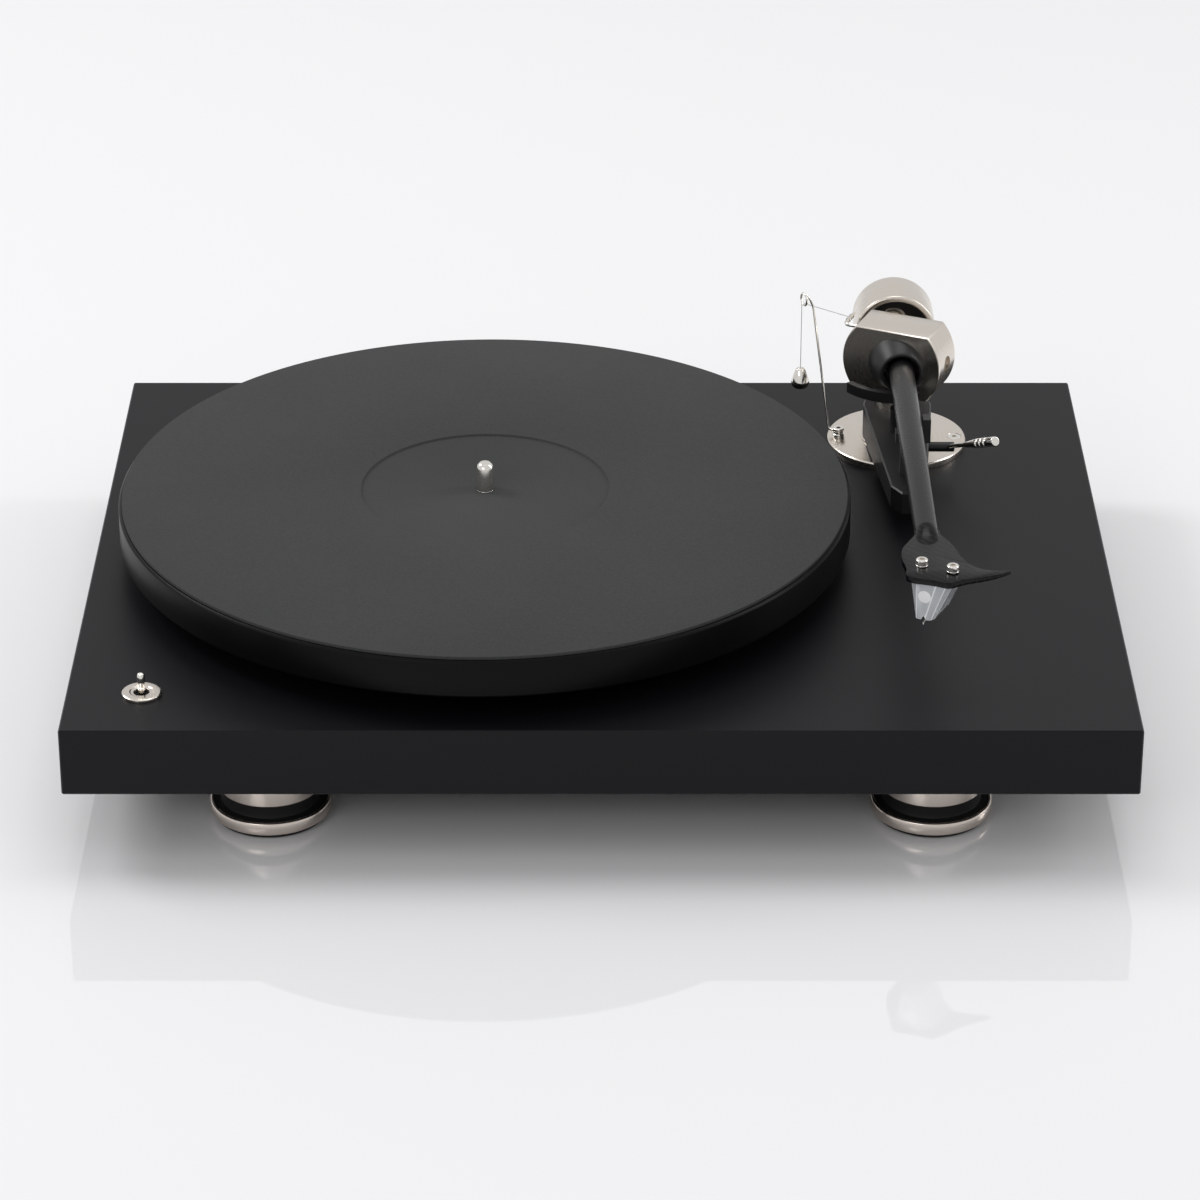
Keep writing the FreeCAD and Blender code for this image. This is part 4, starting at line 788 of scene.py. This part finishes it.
@dataclass
class Feet:
    """Three feet, each a lower disc, a rubber core and a threaded collar."""

    names: tuple[str, ...] = ("front_left", "front_right", "rear")
    disc_radius: float = 24.0
    collar_radius: float = 20.4
    collar_top: float = 28.28
    segments: int = 160

    def build(self) -> None:
        """Turn a foot's pieces, and copy them to where each foot's CAD nodes stand."""
        for pattern, kind, slot, node in (
                (self.core(), "foot_core", "rubber_black", "foot_rubber"),
                (self.ring(), "foot_ring", "nickel_satin", "foot_disc"),
                (self.sleeve(), "foot_sleeve", "nickel_satin", "foot_collar")):
            places = {f"{kind}_{name}": Matrix.Translation(self.centre(name))
                      for name in self.names}
            for piece, name in zip(Bench.copies(pattern, places), self.names):
                nickel = metal(f"foot_nickel_{name}", FOOT_NICKEL, 0.24, self.centre(name))
                seat(piece, f"foot_body_{name}", slot,
                     RUBBER if kind == "foot_core" else nickel, f"{node}_{name}")

    @staticmethod
    def centre(name: str) -> Vector:
        """The middle of a foot's face on the floor."""
        middle = sum(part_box(f"foot_disc_{name}"), Vector()) / 2
        return Vector((middle.x, middle.y, 0))

    @staticmethod
    def core() -> bpy.types.Object:
        """Turn the rubber face, the groove that holds the disc, and the ring above it.

        Returns:
            The piece, at the origin.
        """
        return Bench.turn("core", [
            (20.5, 0.0), (22.0, 0.6), (22.0, 1.9), (8.0, 1.9), (8.0, 6.9), (22.5, 6.9), (22.5, 7.5),
            (19.5, 7.6), (19.2, 8.6), (19.2, 11.6), (19.5, 12.4), (1.0, 12.5)], edge=0.2)

    def ring(self) -> bpy.types.Object:
        """Turn the disc with its rounded rim and raised lip.

        Returns:
            The piece, at the origin.
        """
        r = self.disc_radius
        return Bench.turn("ring", [
            (8.05, 1.9), (r - 1.2, 1.9), (r - 0.25, 2.6), (r, 3.6), (r, 6.4), (r - 0.35, 7.3),
            (r - 1.0, 7.7), (r - 1.35, 7.6), (r - 1.35, 6.9), (8.05, 6.9)], ring=True,
            segments=self.segments, edge=0.25)

    def sleeve(self) -> bpy.types.Object:
        """Turn the collar under the plinth and the stud that goes up into it.

        Returns:
            The piece, at the origin.
        """
        c, top = self.collar_radius, self.collar_top
        return Bench.turn("sleeve", [
            (c - 0.9, 12.5), (c, 13.3), (c, 27.6), (c - 0.7, top), (4.0, top), (4.0, 46.0),
            (3.2, 46.3)], segments=self.segments, edge=0.2)


@dataclass
class ArmBase:
    """The nickel disc under the arm, its screws and the cue lever."""

    radius: float = 29.8
    thick: float = 3.0
    boss_radius: float = 15.7
    boss_top: float = 4.2
    bore: float = 9.1
    screw_circle: float = 25.0
    screw_angles: tuple[float, ...] = (0, 90, 270)
    lever_inset: float = 3.5
    lever_run: Triple = (18.0, -30.6, 17.0)
    grooves: tuple[float, ...] = (0.66, 0.74, 0.82)

    def screw_places(self) -> list[Matrix]:
        """Find the places of the base's screws, on the deck.

        Returns:
            The places, in the order of their angles.
        """
        return [stand(from_base(self.screw_circle * math.cos(math.radians(angle)),
                                self.screw_circle * math.sin(math.radians(angle)), 0))
                for angle in self.screw_angles]

    def build(self) -> None:
        """Build the disc with its countersinks, then its screws and the cue lever."""
        place = stand(above(PIVOT, 0))
        disc = Bench.turn("base_plate", [
            (self.bore, 0.0), (self.radius, 0.0), (self.radius, self.thick - 0.5),
            (self.radius - 0.5, self.thick), (self.boss_radius, self.thick),
            (self.boss_radius, self.boss_top - 0.3), (self.boss_radius - 0.3, self.boss_top),
            (self.bore, self.boss_top)], place, ring=True, segments=192, edge=0.12)
        for spot in self.screw_places():
            sink = Bench.turn("sink", [(1.6, 0.8), (1.6, 1.5), (3.15, 2.95), (3.15, 5.0)], spot,
                              segments=64)
            Bench.carve(disc, sink)
        Bench.smooth(disc)
        seat(disc, "plinth_body", "nickel_satin", BASE_NICKEL, "arm_base_disc")
        self.screws()
        self.cue()

    def screws(self) -> None:
        """Model one countersunk screw and copy it to its places."""
        pattern = Bench.turn("screw", [
            (1.5, -6.0), (1.5, 1.5), (2.9, 2.75), (2.9, 2.88), (1.35, 2.88)], segments=48,
            edge=0.06)
        Bench.key(pattern, 1.1, 1.6, 3.5)
        places = {f"base_screw_{index}": spot for index, spot in enumerate(self.screw_places())}
        for index, screw in enumerate(Bench.copies(pattern, places)):
            seat(screw, "plinth_body", "steel", POLISHED, *first(index, "arm_base_screws"))

    def cue(self) -> None:
        """Turn the cue lever with its grooved grip, and its hub."""
        low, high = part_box("cue_hub")
        hub = Bench.turn("cue_shaft", [(1.7, 0.0), (2.1, 0.4), (2.1, 15.5), (1.7, 15.9)],
                         stand(Vector((low.x, CUE.y, CUE.z)), RIGHT), segments=48, edge=0.1)
        seat(hub, "cue_body", "soft_black", SOFT_BLACK, "cue_hub")
        root = Vector((high.x - self.lever_inset * MM, CUE.y, CUE.z))
        along = Vector(self.lever_run)
        reach = along.length
        profile = [(0.95, 0.6), (0.95, reach * 0.36), (1.25, reach * 0.42), (1.95, reach * 0.6)]
        for start in (reach * share for share in self.grooves):
            profile += [(2.1, start), (1.65, start + 0.25), (1.65, start + 1.1),
                        (2.1, start + 1.35)]
        profile += [(2.1, reach - 0.5), (1.8, reach)]
        lever = Bench.turn("cue_handle", profile, stand(root, along), segments=64, edge=0.12)
        seat(lever, "cue_body", "nickel_bright", POLISHED, "cue_lever")


@dataclass
class BearingBlock:
    """The block that swings with the arm, its collar, its screws and the thread's hook."""

    radius: float = 22.0
    thick: float = 19.5
    flat: float = 15.0
    bore: float = 7.5
    edge: float = 0.75
    collar_long: float = 18.4
    hook_height: float = 48.0
    hook_radius: float = 0.8
    hook_rings: int = 3
    first_ring: float = 5.0
    ring_pitch: float = 2.2

    def build(self) -> None:
        """Shape the block, the collar, the screws and the hook for the thread."""
        half = self.thick / 2
        block = Bench.turn("pivot_block", [(self.radius, -half), (self.radius, half)],
                           stand(PIVOT, BLOCK_LINE), segments=192)
        for up in (UP, -UP):
            Bench.slice(block, PIVOT + up * self.flat * MM, up)
        Bench.bevel(block, self.edge * MM, segments=2)
        Bench.carve(block, Bench.turn("bore", [(self.bore, -40.0), (self.bore, 40.0)],
                                      stand(PIVOT, -FRONT)))
        sides = [stand(PIVOT, PITCH_LINE * way) for way in (1, -1)]
        for side in sides:
            Bench.carve(block, Bench.turn("socket", [(3.5, 19.6), (3.5, 30.0)], side, segments=64))
        Bench.smooth(block, 24)
        seat(block, "yaw_body", "nickel_satin", BLOCK_NICKEL, "bearing_block")
        pattern = Bench.turn("screw", [(2.5, 9.0), (2.5, 19.0), (2.1, 19.4)], segments=48)
        Bench.key(pattern, 1.2, 17.9, 21.0)
        places = {f"pivot_screw_{index}": side for index, side in enumerate(sides)}
        for index, screw in enumerate(Bench.copies(pattern, places)):
            seat(screw, "yaw_body", "nickel_bright", POLISHED, *first(index, "pitch_screws"))
        self.collar()
        self.hook()

    def collar(self) -> None:
        """Turn the black collar that the arm comes out of, and its setscrew."""
        long = self.collar_long
        collar = Bench.turn("arm_collar", [
            (self.bore, 0.0), (13.2, 0.0), (13.2, 6.0), (12.4, 8.4), (9.2, long - 0.8), (8.6, long),
            (self.bore, long)], stand(PIVOT, FRONT), ring=True, segments=128, edge=0.18)
        seat(collar, "yaw_body", "soft_black", SOFT_BLACK, "block_collar")
        spot = PIVOT + Vector((7.4, -11.0, 7.6)) * MM
        setscrew = Bench.turn("collar_setscrew", [(0.95, -2.0), (0.95, 1.1), (0.6, 1.3)],
                              stand(spot, Vector((0.62, -0.35, 0.7))), segments=32, edge=0.06)
        seat(setscrew, "yaw_body", "nickel_bright", POLISHED)

    def hook(self) -> None:
        """Bend the stub that the antiskate thread hangs from, with its grooves."""
        root, corner, end = (from_base(x, y, self.hook_height)
                             for x, y in ((-14.4, 14.2), (-22.6, 17.4), (-17.9, 28.9)))
        stub = Bench.wire("thread_hook", [root, corner, end], self.hook_radius, bend=2.4)
        seat(stub, "yaw_body", "nickel_bright", POLISHED, "antiskate_stub")
        run = (end - corner).normalized()
        pattern = Bench.turn("ring", [(0.7, -0.35), (1.05, -0.25), (1.05, 0.25), (0.7, 0.35)],
                             segments=32)
        places = {f"hook_ring_{index}":
                  stand(corner + run * (self.first_ring + self.ring_pitch * index) * MM, run)
                  for index in range(self.hook_rings)}
        for ring in Bench.copies(pattern, places):
            seat(ring, "yaw_body", "nickel_bright", POLISHED)


@dataclass
class Arm:
    """The carbon tube, the headshell with its cartridge, and the counterweight."""

    slope: float = SLOPE
    weight_radius: float = 17.5
    shell_low: float = 44.6
    shell_top: float = 47.2
    screw_pitch: float = 12.7
    mount: Triple = (2.2, -213.0, 0.0)
    housing_low: float = 28.9
    dot_spot: Triple = (-1.3, -9.78, 38.9)
    cantilever_radius: float = 0.28
    pin_spread: tuple[float, ...] = (-2.6, -0.9, 0.9, 2.6)

    def ahead(self) -> Vector:
        """The direction of the arm, from the pivot to the headshell."""
        return Vector((0, -math.cos(self.slope), math.sin(self.slope)))

    def shell_middle(self) -> float:
        """The height of the middle of the headshell's plate, in metres."""
        return above(PIVOT, (self.shell_low + self.shell_top) / 2).z

    def build(self) -> None:
        """Build the arm from its tube to its stylus, and what balances it."""
        ahead = stand(PIVOT, self.ahead())
        tube = Bench.turn("carbon_arm", [
            (4.5, -12.0), (5.4, -12.0), (5.4, 12.0), (4.65, 180.5), (3.75, 180.5), (4.4, 12.0)],
            ahead, ring=True, edge=0.1)
        seat(tube, "arm_body", "carbon", CARBON, "arm_tube")
        behind = stand(PIVOT, -self.ahead())
        stem = Bench.turn("threaded_stem", [
            (4.35, 4.0), (4.35, 12.0), (4.0, 12.0), (4.0, 49.4), (3.5, 50.0)], behind, segments=64,
            edge=0.1)
        seat(stem, "arm_body", "nickel_satin", WEIGHT_NICKEL, "weight_stem")
        r = self.weight_radius
        weight = Bench.turn("balance_weight", [
            (4.08, 41.2), (9.0, 41.2), (9.0, 40.0), (r - 2.7, 40.0), (r - 2.7, 24.5),
            (r - 2.2, 23.8), (r - 0.6, 23.8), (r, 24.4), (r, 46.8), (r - 1.0, 47.8), (6.2, 47.8),
            (5.6, 47.2), (4.08, 47.2)], behind, ring=True, segments=192, edge=0.2)
        seat(weight, "counterweight_body", "weight_steel", WEIGHT_NICKEL, "counterweight")
        # a black lining in the weight's front recess: painted shade that darkens the recess
        recess_shade = Bench.turn("weight_recess_painted_shade", [
            (6.0, 39.9), (6.0, 39.4), (r - 3.3, 39.4), (r - 3.3, 25.4), (r - 2.75, 24.9),
            (r - 2.75, 39.9)], behind, ring=True, segments=128, edge=0.1)
        seat(recess_shade, "counterweight_body", "soft_black", SOFT_BLACK)
        self.headshell()
        self.cartridge()

    def headshell(self) -> None:
        """Cut the headshell and its finger lift, and screw the cartridge to it."""
        outline = smooth_outline([
            (4.3, -179.6), (5.4, -184.0), (8.6, -191.0), (11.2, -198.6), (13.4, -206.0),
            (17.5, -210.4), (24.0, -212.2), (30.0, -212.4), (30.6, -213.4), (25.0, -216.2),
            (17.0, -219.8), (10.4, -223.6), (6.0, -225.8), (0.0, -223.4), (-9.4, -220.0),
            (-9.7, -213.0), (-10.9, -205.0), (-10.4, -197.0), (-7.4, -190.0), (-4.8, -184.4),
            (-4.0, -179.6)])
        shell = Bench.plate("headshell_plate", outline, self.shell_low, self.shell_top,
                            stand(from_base(0, 0, 0)), edge=0.5)
        self.droop(shell)
        seat(shell, "arm_body", "shell_black", GLOSS_CARBON, "headshell")
        self.shoulder()
        top = self.shell_top
        pattern = Bench.turn("screw", [
            (1.25, self.shell_low - 2.4), (1.25, top), (2.45, top), (2.45, top + 0.3),
            (2.35, top + 0.35), (2.35, top + 2.3), (2.05, top + 2.6)], segments=64, edge=0.1)
        Bench.key(pattern, 1.15, top + 1.2, top + 4)
        places = {f"cartridge_screw_{index}":
                  stand(from_base(*self.mount) + PITCH_LINE * way * self.screw_pitch / 2 * MM)
                  for index, way in enumerate((-1, 1))}
        for index, screw in enumerate(Bench.copies(pattern, places)):
            seat(screw, "arm_body", "steel", POLISHED, *first(index, "headshell_screws"))

    def shoulder(self) -> None:
        """Shape the shoulder that leads from the round tube to the flat headshell."""
        start, run = 179.5, 15.0            # how far out it begins to flatten, and over what run
        flatten, widen = 0.74, 0.35
        piece = Bench.turn("headshell_shoulder", [
            (3.6, 172.0), (4.62, 179.3), (4.62, 181.5), (4.5, 184.0), (4.3, 187.0), (4.0, 190.0),
            (3.4, 194.5)], stand(PIVOT, self.ahead()), segments=96, edge=0.1)
        middle = self.shell_middle()
        for point in piece.data.vertices:
            out = (PIVOT.y - point.co.y) / MM - start
            share = max(0.0, min(out / run, 1.0))
            ease = share * share * (3 - 2 * share)
            point.co.z = middle + (point.co.z - middle) * (1 - flatten * ease)
            point.co.x = PIVOT.x + (point.co.x - PIVOT.x) * (1 + widen * ease)
        piece.data.update()
        seat(piece, "arm_body", "shell_black", GLOSS_CARBON)

    def droop(self, shell: bpy.types.Object) -> None:
        """Thin the finger lift towards its tip and bend it down, then up at its end.

        Args:
            shell: the headshell's plate.
        """
        start, run = PIVOT.x + 12 * MM, 18 * MM
        thin, drop = 0.55, 1.1 * MM
        middle = self.shell_middle()
        for point in shell.data.vertices:
            out = min(max(0.0, point.co.x - start) / run, 1.0)
            point.co.z = middle + (point.co.z - middle) * (1 - thin * out)
            point.co.z -= drop * math.sin(out * math.pi * 0.8)
        shell.data.update()

    def cartridge(self) -> None:
        """Facet the clear housing, and fit its flange, magnet core, dot, stylus and pins."""
        yaw = Matrix.Translation(from_base(*self.mount)) @ Matrix.Rotation(-OFFSET, 4, "Z")
        top = [(-8.4, 9.5), (-8.4, -6.5), (-5.0, -9.6), (3.2, -9.9), (6.8, -8.2), (9.0, -5.5),
               (9.0, 9.5)]
        bottom = [(-4.9, 7.6), (-5.3, -7.8), (-4.6, -9.6), (-1.0, -10.2), (1.4, -9.2),
                  (2.3, -7.6), (3.0, 7.6)]
        low, high = self.housing_low, self.shell_low
        housing = Bench.plate("clear_housing", bottom, low, high, yaw, top=top)
        notch = Bench.plate("notch", [(-2.9, -14.0), (0.1, -14.0), (0.1, -6.0), (-2.9, -6.0)],
                            low - 1, low + 1.6, yaw,
                            top=[(-1.8, -14.0), (-1.2, -14.0), (-1.2, -6.0), (-1.8, -6.0)])
        Bench.carve(housing, notch)
        dress(housing, CRYSTAL, FROSTED_CLEAR_AND_HIGHLIGHT)
        # the bevels take the second slot, the brighter frosted clear, as a painted highlight along
        # the housing's edges
        Bench.bevel(housing, 0.32 * MM, segments=2, angle=18, slot=1)
        Bench.smooth(housing, 12)
        seat(housing, "arm_body", "cartridge_clear", CRYSTAL, "cartridge_body")
        flange = Bench.plate("cartridge_flange", [(-8.9, 10.5), (-8.9, -4.0), (9.1, -4.0),
                                                  (9.1, 10.5)], high - 2.0, high - 0.05, yaw,
                             edge=0.3)
        seat(flange, "arm_body", "cartridge_clear", FROSTED_CLEAR_AND_HIGHLIGHT)
        core = Bench.plate("magnet_core", [(-2.6, 6.4), (-2.6, -3.0), (2.6, -3.0), (2.6, 6.4)],
                           low + 3.2, high - 2.4, yaw, edge=0.4)
        seat(core, "arm_body", "cartridge_clear", FROSTED_CLEAR_AND_HIGHLIGHT)
        spot = yaw @ (Vector(self.dot_spot) * MM)
        dot = Bench.turn("front_dot", [(2.6, -0.4), (2.6, 0.14)],
                         stand(spot, yaw.to_3x3() @ Vector((-0.04, -1, -0.02))), segments=64,
                         edge=0.05)
        seat(dot, "arm_body", "cartridge_clear", WHITE_MARK)
        self.stylus(yaw)
        self.pins(yaw)

    def stylus(self, yaw: Matrix) -> None:
        """Build the stylus holder, its cantilever and its point.

        Args:
            yaw: the cartridge's place.
        """
        low = self.housing_low
        holder = Bench.plate("stylus_holder", [(-3.2, 3.0), (-3.2, -5.4), (0.4, -5.4), (0.4, 3.0)],
                             low - 0.8, low + 1.2, yaw, edge=0.3)
        seat(holder, "arm_body", "cartridge_clear", WHITE_MARK, "stylus_assembly")
        root = yaw @ (Vector((-1.4, -4.6, low - 0.6)) * MM)
        tip = yaw @ (Vector((-1.5, -9.4, low - 1.4)) * MM)
        lever = Bench.wire("cantilever", [root, tip], self.cantilever_radius)
        seat(lever, "arm_body", "steel", POLISHED)
        point = Bench.turn("diamond", [(0.08, 0.0), (0.34, 0.9)], stand(tip - UP * 0.85 * MM),
                           segments=16)
        seat(point, "arm_body", "cartridge_clear", FROSTED_CLEAR_AND_HIGHLIGHT)

    def pins(self, yaw: Matrix) -> None:
        """Turn one signal pin and copy it to its places at the cartridge's back.

        Args:
            yaw: the cartridge's place.
        """
        height, stagger = 36.5, 2.6
        pattern = Bench.turn("pin", [(0.6, 0.0), (0.6, 4.6), (0.4, 4.9)], segments=24)
        back = yaw.to_3x3() @ -FRONT
        places = {f"signal_pin_{index}":
                  stand(yaw @ (Vector((spread, 9.6, height + (index % 2) * stagger)) * MM), back)
                  for index, spread in enumerate(self.pin_spread)}
        for pin in Bench.copies(pattern, places):
            seat(pin, "arm_body", "brass", BRASS)


def smooth_outline(corners: Outline, steps: int = 4) -> list[tuple[float, float]]:
    """Round an outline through its corners.

    Args:
        corners: the corners in order.
        steps: the points on each stretch between two corners.

    Returns:
        The points of the rounded outline.
    """
    points: list[tuple[float, float]] = []
    count = len(corners)
    for index in range(count):
        a, b, c, d = (Vector(corners[(index + shift) % count]) for shift in (-1, 0, 1, 2))
        for step in range(steps):
            t = step / steps
            spot = 0.5 * ((2 * b) + (c - a) * t + (2 * a - 5 * b + 4 * c - d) * t ** 2
                          + (3 * b - a - 3 * c + d) * t ** 3)
            points.append((spot.x, spot.y))
    return points


@dataclass
class Antiskate:
    """The post, the wire with its eye, the thread and the hanging weight."""

    eye: Triple = (-40.4, 14.2, 61.0)
    eye_radius: float = 2.6
    eye_turn: float = 25.0
    wire_radius: float = 0.5
    thread_radius: float = 0.16
    bob_height: float = 8.0
    bob_top: float = 28.6

    def build(self) -> None:
        """Build the hanging weight and all that holds it."""
        eye = from_base(*self.eye)
        post = Bench.turn("skate_post", [
            (1.5, -8.0), (1.5, 3.0), (2.5, 3.0), (2.5, 4.2), (2.05, 4.5), (2.05, 5.6), (2.5, 5.9),
            (2.5, 6.7), (2.2, 7.0)], segments=64, edge=0.1)
        Bench.key(post, 1.0, 5.4, 9.0)
        Bench.settle(post, stand(from_base(-25, 0, 0)))
        seat(post, "plinth_body", "nickel_bright", POLISHED, "antiskate_post")
        r = self.eye_radius
        spots = [from_base(-27.0, 0.3, 5.2), from_base(-29.2, 2.0, 5.8)]
        spots += [eye + Vector(spot) * MM
                  for spot in ((4.0, 0.0, -3.4), (2.4, 0.0, 0.4), (0.0, 0.0, r))]
        wire = Bench.wire("skate_wire", spots, self.wire_radius, bend=0.9)
        seat(wire, "plinth_body", "nickel_bright", POLISHED, "antiskate_wire")
        Bench.clear()
        bpy.ops.mesh.primitive_torus_add(major_radius=r * MM, minor_radius=self.wire_radius * MM,
                                         major_segments=64, minor_segments=20)
        ring = bpy.context.object
        ring.name = "skate_eye"
        turn = math.radians(self.eye_turn)
        lean = Vector((math.cos(turn), math.sin(turn), 0))
        Bench.smooth(Bench.settle(ring, stand(eye, lean)), 60)
        seat(ring, "plinth_body", "nickel_bright", POLISHED)
        self.thread(eye)

    def thread(self, eye: Vector) -> None:
        """Run the thread from the stub over the eye, and hang the weight on it.

        Args:
            eye: the middle of the wire's eye.
        """
        saddle = eye + Vector((-0.2, 0, -self.eye_radius + 0.75)) * MM
        hook = from_base(-20.6, 23.4, 48.9)
        bob = Vector((saddle.x - 0.7 * MM, saddle.y, DECK + self.bob_top * MM))
        place = Matrix.Translation((bob.x, bob.y, DECK))
        span = self.strand("skate_thread_span", hook, saddle)
        dress(span, THREAD)
        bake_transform(span)
        log.info("%s between plinth_body and yaw_body", span.name)
        drop = self.strand("skate_thread_drop", Vector((bob.x, bob.y, saddle.z)), bob)
        seat(drop, "plinth_body", "nylon", THREAD, "antiskate_thread")
        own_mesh(drop)
        low = self.bob_top - self.bob_height
        weight = Bench.turn("skate_weight", [
            (2.7, low - 0.7), (3.5, low + 0.2), (3.5, low + 1.9), (3.95, low + 2.1),
            (3.85, low + 2.5), (2.2, low + 7.3), (1.7, self.bob_top), (0.9, self.bob_top),
            (0.9, self.bob_top + 0.3)], place, segments=64, edge=0.12)
        seat(weight, "antiskate_weight_body", "nickel_satin", POLISHED, "antiskate_weight")
        band = Bench.turn("skate_weight_band", [
            (2.9, low - 0.6), (3.62, low + 0.2), (3.98, low + 1.8), (3.7, low + 2.05)], place,
            segments=64)
        seat(band, "antiskate_weight_body", "rubber_black", RUBBER)

    def strand(self, name: str, start: Vector, end: Vector) -> bpy.types.Object:
        """A thin straight thread, divided along its length.

        Args:
            name: the thread's name.
            start: its first end.
            end: its other end.

        Returns:
            The thread's mesh.
        """
        steps = 12
        spots = [start.lerp(end, step / steps) for step in range(steps + 1)]
        return Bench.wire(name, spots, self.thread_radius)


@dataclass(frozen=True)
class Softbox:
    """One soft rectangular light."""

    name: str
    place: Triple
    aim: Triple
    size: tuple[float, float]
    power: float

    def hang(self) -> None:
        """Hang the light at its place and point it at its aim."""
        Bench.clear()
        bpy.ops.object.light_add(type="AREA", location=self.place)
        lamp = bpy.context.object
        lamp.name = self.name
        lamp.data.shape = "RECTANGLE"
        lamp.data.size, lamp.data.size_y = self.size
        lamp.data.energy = self.power
        away = Vector(self.aim) - Vector(self.place)
        lamp.rotation_euler = away.to_track_quat("-Z", "Y").to_euler()


@dataclass
class Studio:
    """The floor, the soft lights and the camera."""

    camera_place: Triple = (-0.0004, -1.6767, 0.8962)
    pitch: float = 27.32
    lens: float = 136.2
    sensor: float = 36.0
    floor_size: float = 14.0
    floor_colour: Triple = (0.80, 0.80, 0.81)
    sky_colour: Triple = (0.95, 0.95, 0.955)
    sky_strength: float = 0.72
    lights: tuple[Softbox, ...] = (
        Softbox("key_softbox", (-1.7, 0.8, 1.7), (0.0, 0.1, 0.05), (0.9, 0.9), 20),
        Softbox("top_softbox", (0.1, 0.6, 2.2), (0.0, 0.05, 0.0), (1.2, 0.9), 10),
        Softbox("right_strip", (1.8, 0.3, 1.0), (0.1, 0.0, 0.1), (0.35, 1.4), 9),
        Softbox("front_fill", (-1.0, -1.9, 1.3), (0.0, 0.0, 0.0), (1.0, 0.5), 6))

    def build(self) -> None:
        """Set up the studio."""
        self.floor()
        self.world()
        for light in self.lights:
            light.hang()
        Bench.clear()
        bpy.ops.object.camera_add(location=self.camera_place,
                                  rotation=(math.radians(90 - self.pitch), 0, 0))
        camera = bpy.context.object
        camera.name = "studio_camera"
        camera.data.lens = self.lens
        camera.data.sensor_width = self.sensor
        bpy.context.scene.camera = camera

    def floor(self) -> None:
        """Lay the pale glossy floor."""
        Bench.clear()
        bpy.ops.mesh.primitive_plane_add(size=self.floor_size)
        floor = bpy.context.object
        floor.name = "studio_floor"
        material = bpy.data.materials.new("pale_floor")
        material.use_nodes = True
        shader = material.node_tree.nodes["Principled BSDF"]
        shader.inputs["Base Color"].default_value = (*self.floor_colour, 1)
        for label, value in (("Roughness", 0.55), ("Coat Weight", 1.0), ("Coat IOR", 1.7),
                             ("Coat Roughness", 0.03)):
            shader.inputs[label].default_value = value
        floor.data.materials.append(material)

    def world(self) -> None:
        """Fill the room with plain pale light."""
        world = bpy.data.worlds.new("studio_world")
        world.use_nodes = True
        background = world.node_tree.nodes["Background"]
        background.inputs["Color"].default_value = (*self.sky_colour, 1)
        background.inputs["Strength"].default_value = self.sky_strength
        bpy.context.scene.world = world
        bpy.context.scene.view_settings.view_transform = "Standard"


def dress_nodes() -> None:
    """Give each CAD node that stays one finish all over."""
    for name, finish in NODE_FINISHES.items():
        node = frame["nodes"][name]
        dress(node, finish)
        for face in node.data.polygons:
            face.material_index = 0


def main() -> None:
    """Build the turntable's pieces in order."""
    logging.basicConfig(level=logging.INFO, format="%(name)s: %(message)s")
    Bench.clear()
    dress_nodes()
    steps: Sequence[Callable[[], None]] = (
        Studio().build, Platter().build, PowerSwitch().build, Feet().build, ArmBase().build,
        BearingBlock().build, Arm().build, Antiskate().build)
    for step in steps:
        step()


if __name__ == "__main__":
    main()
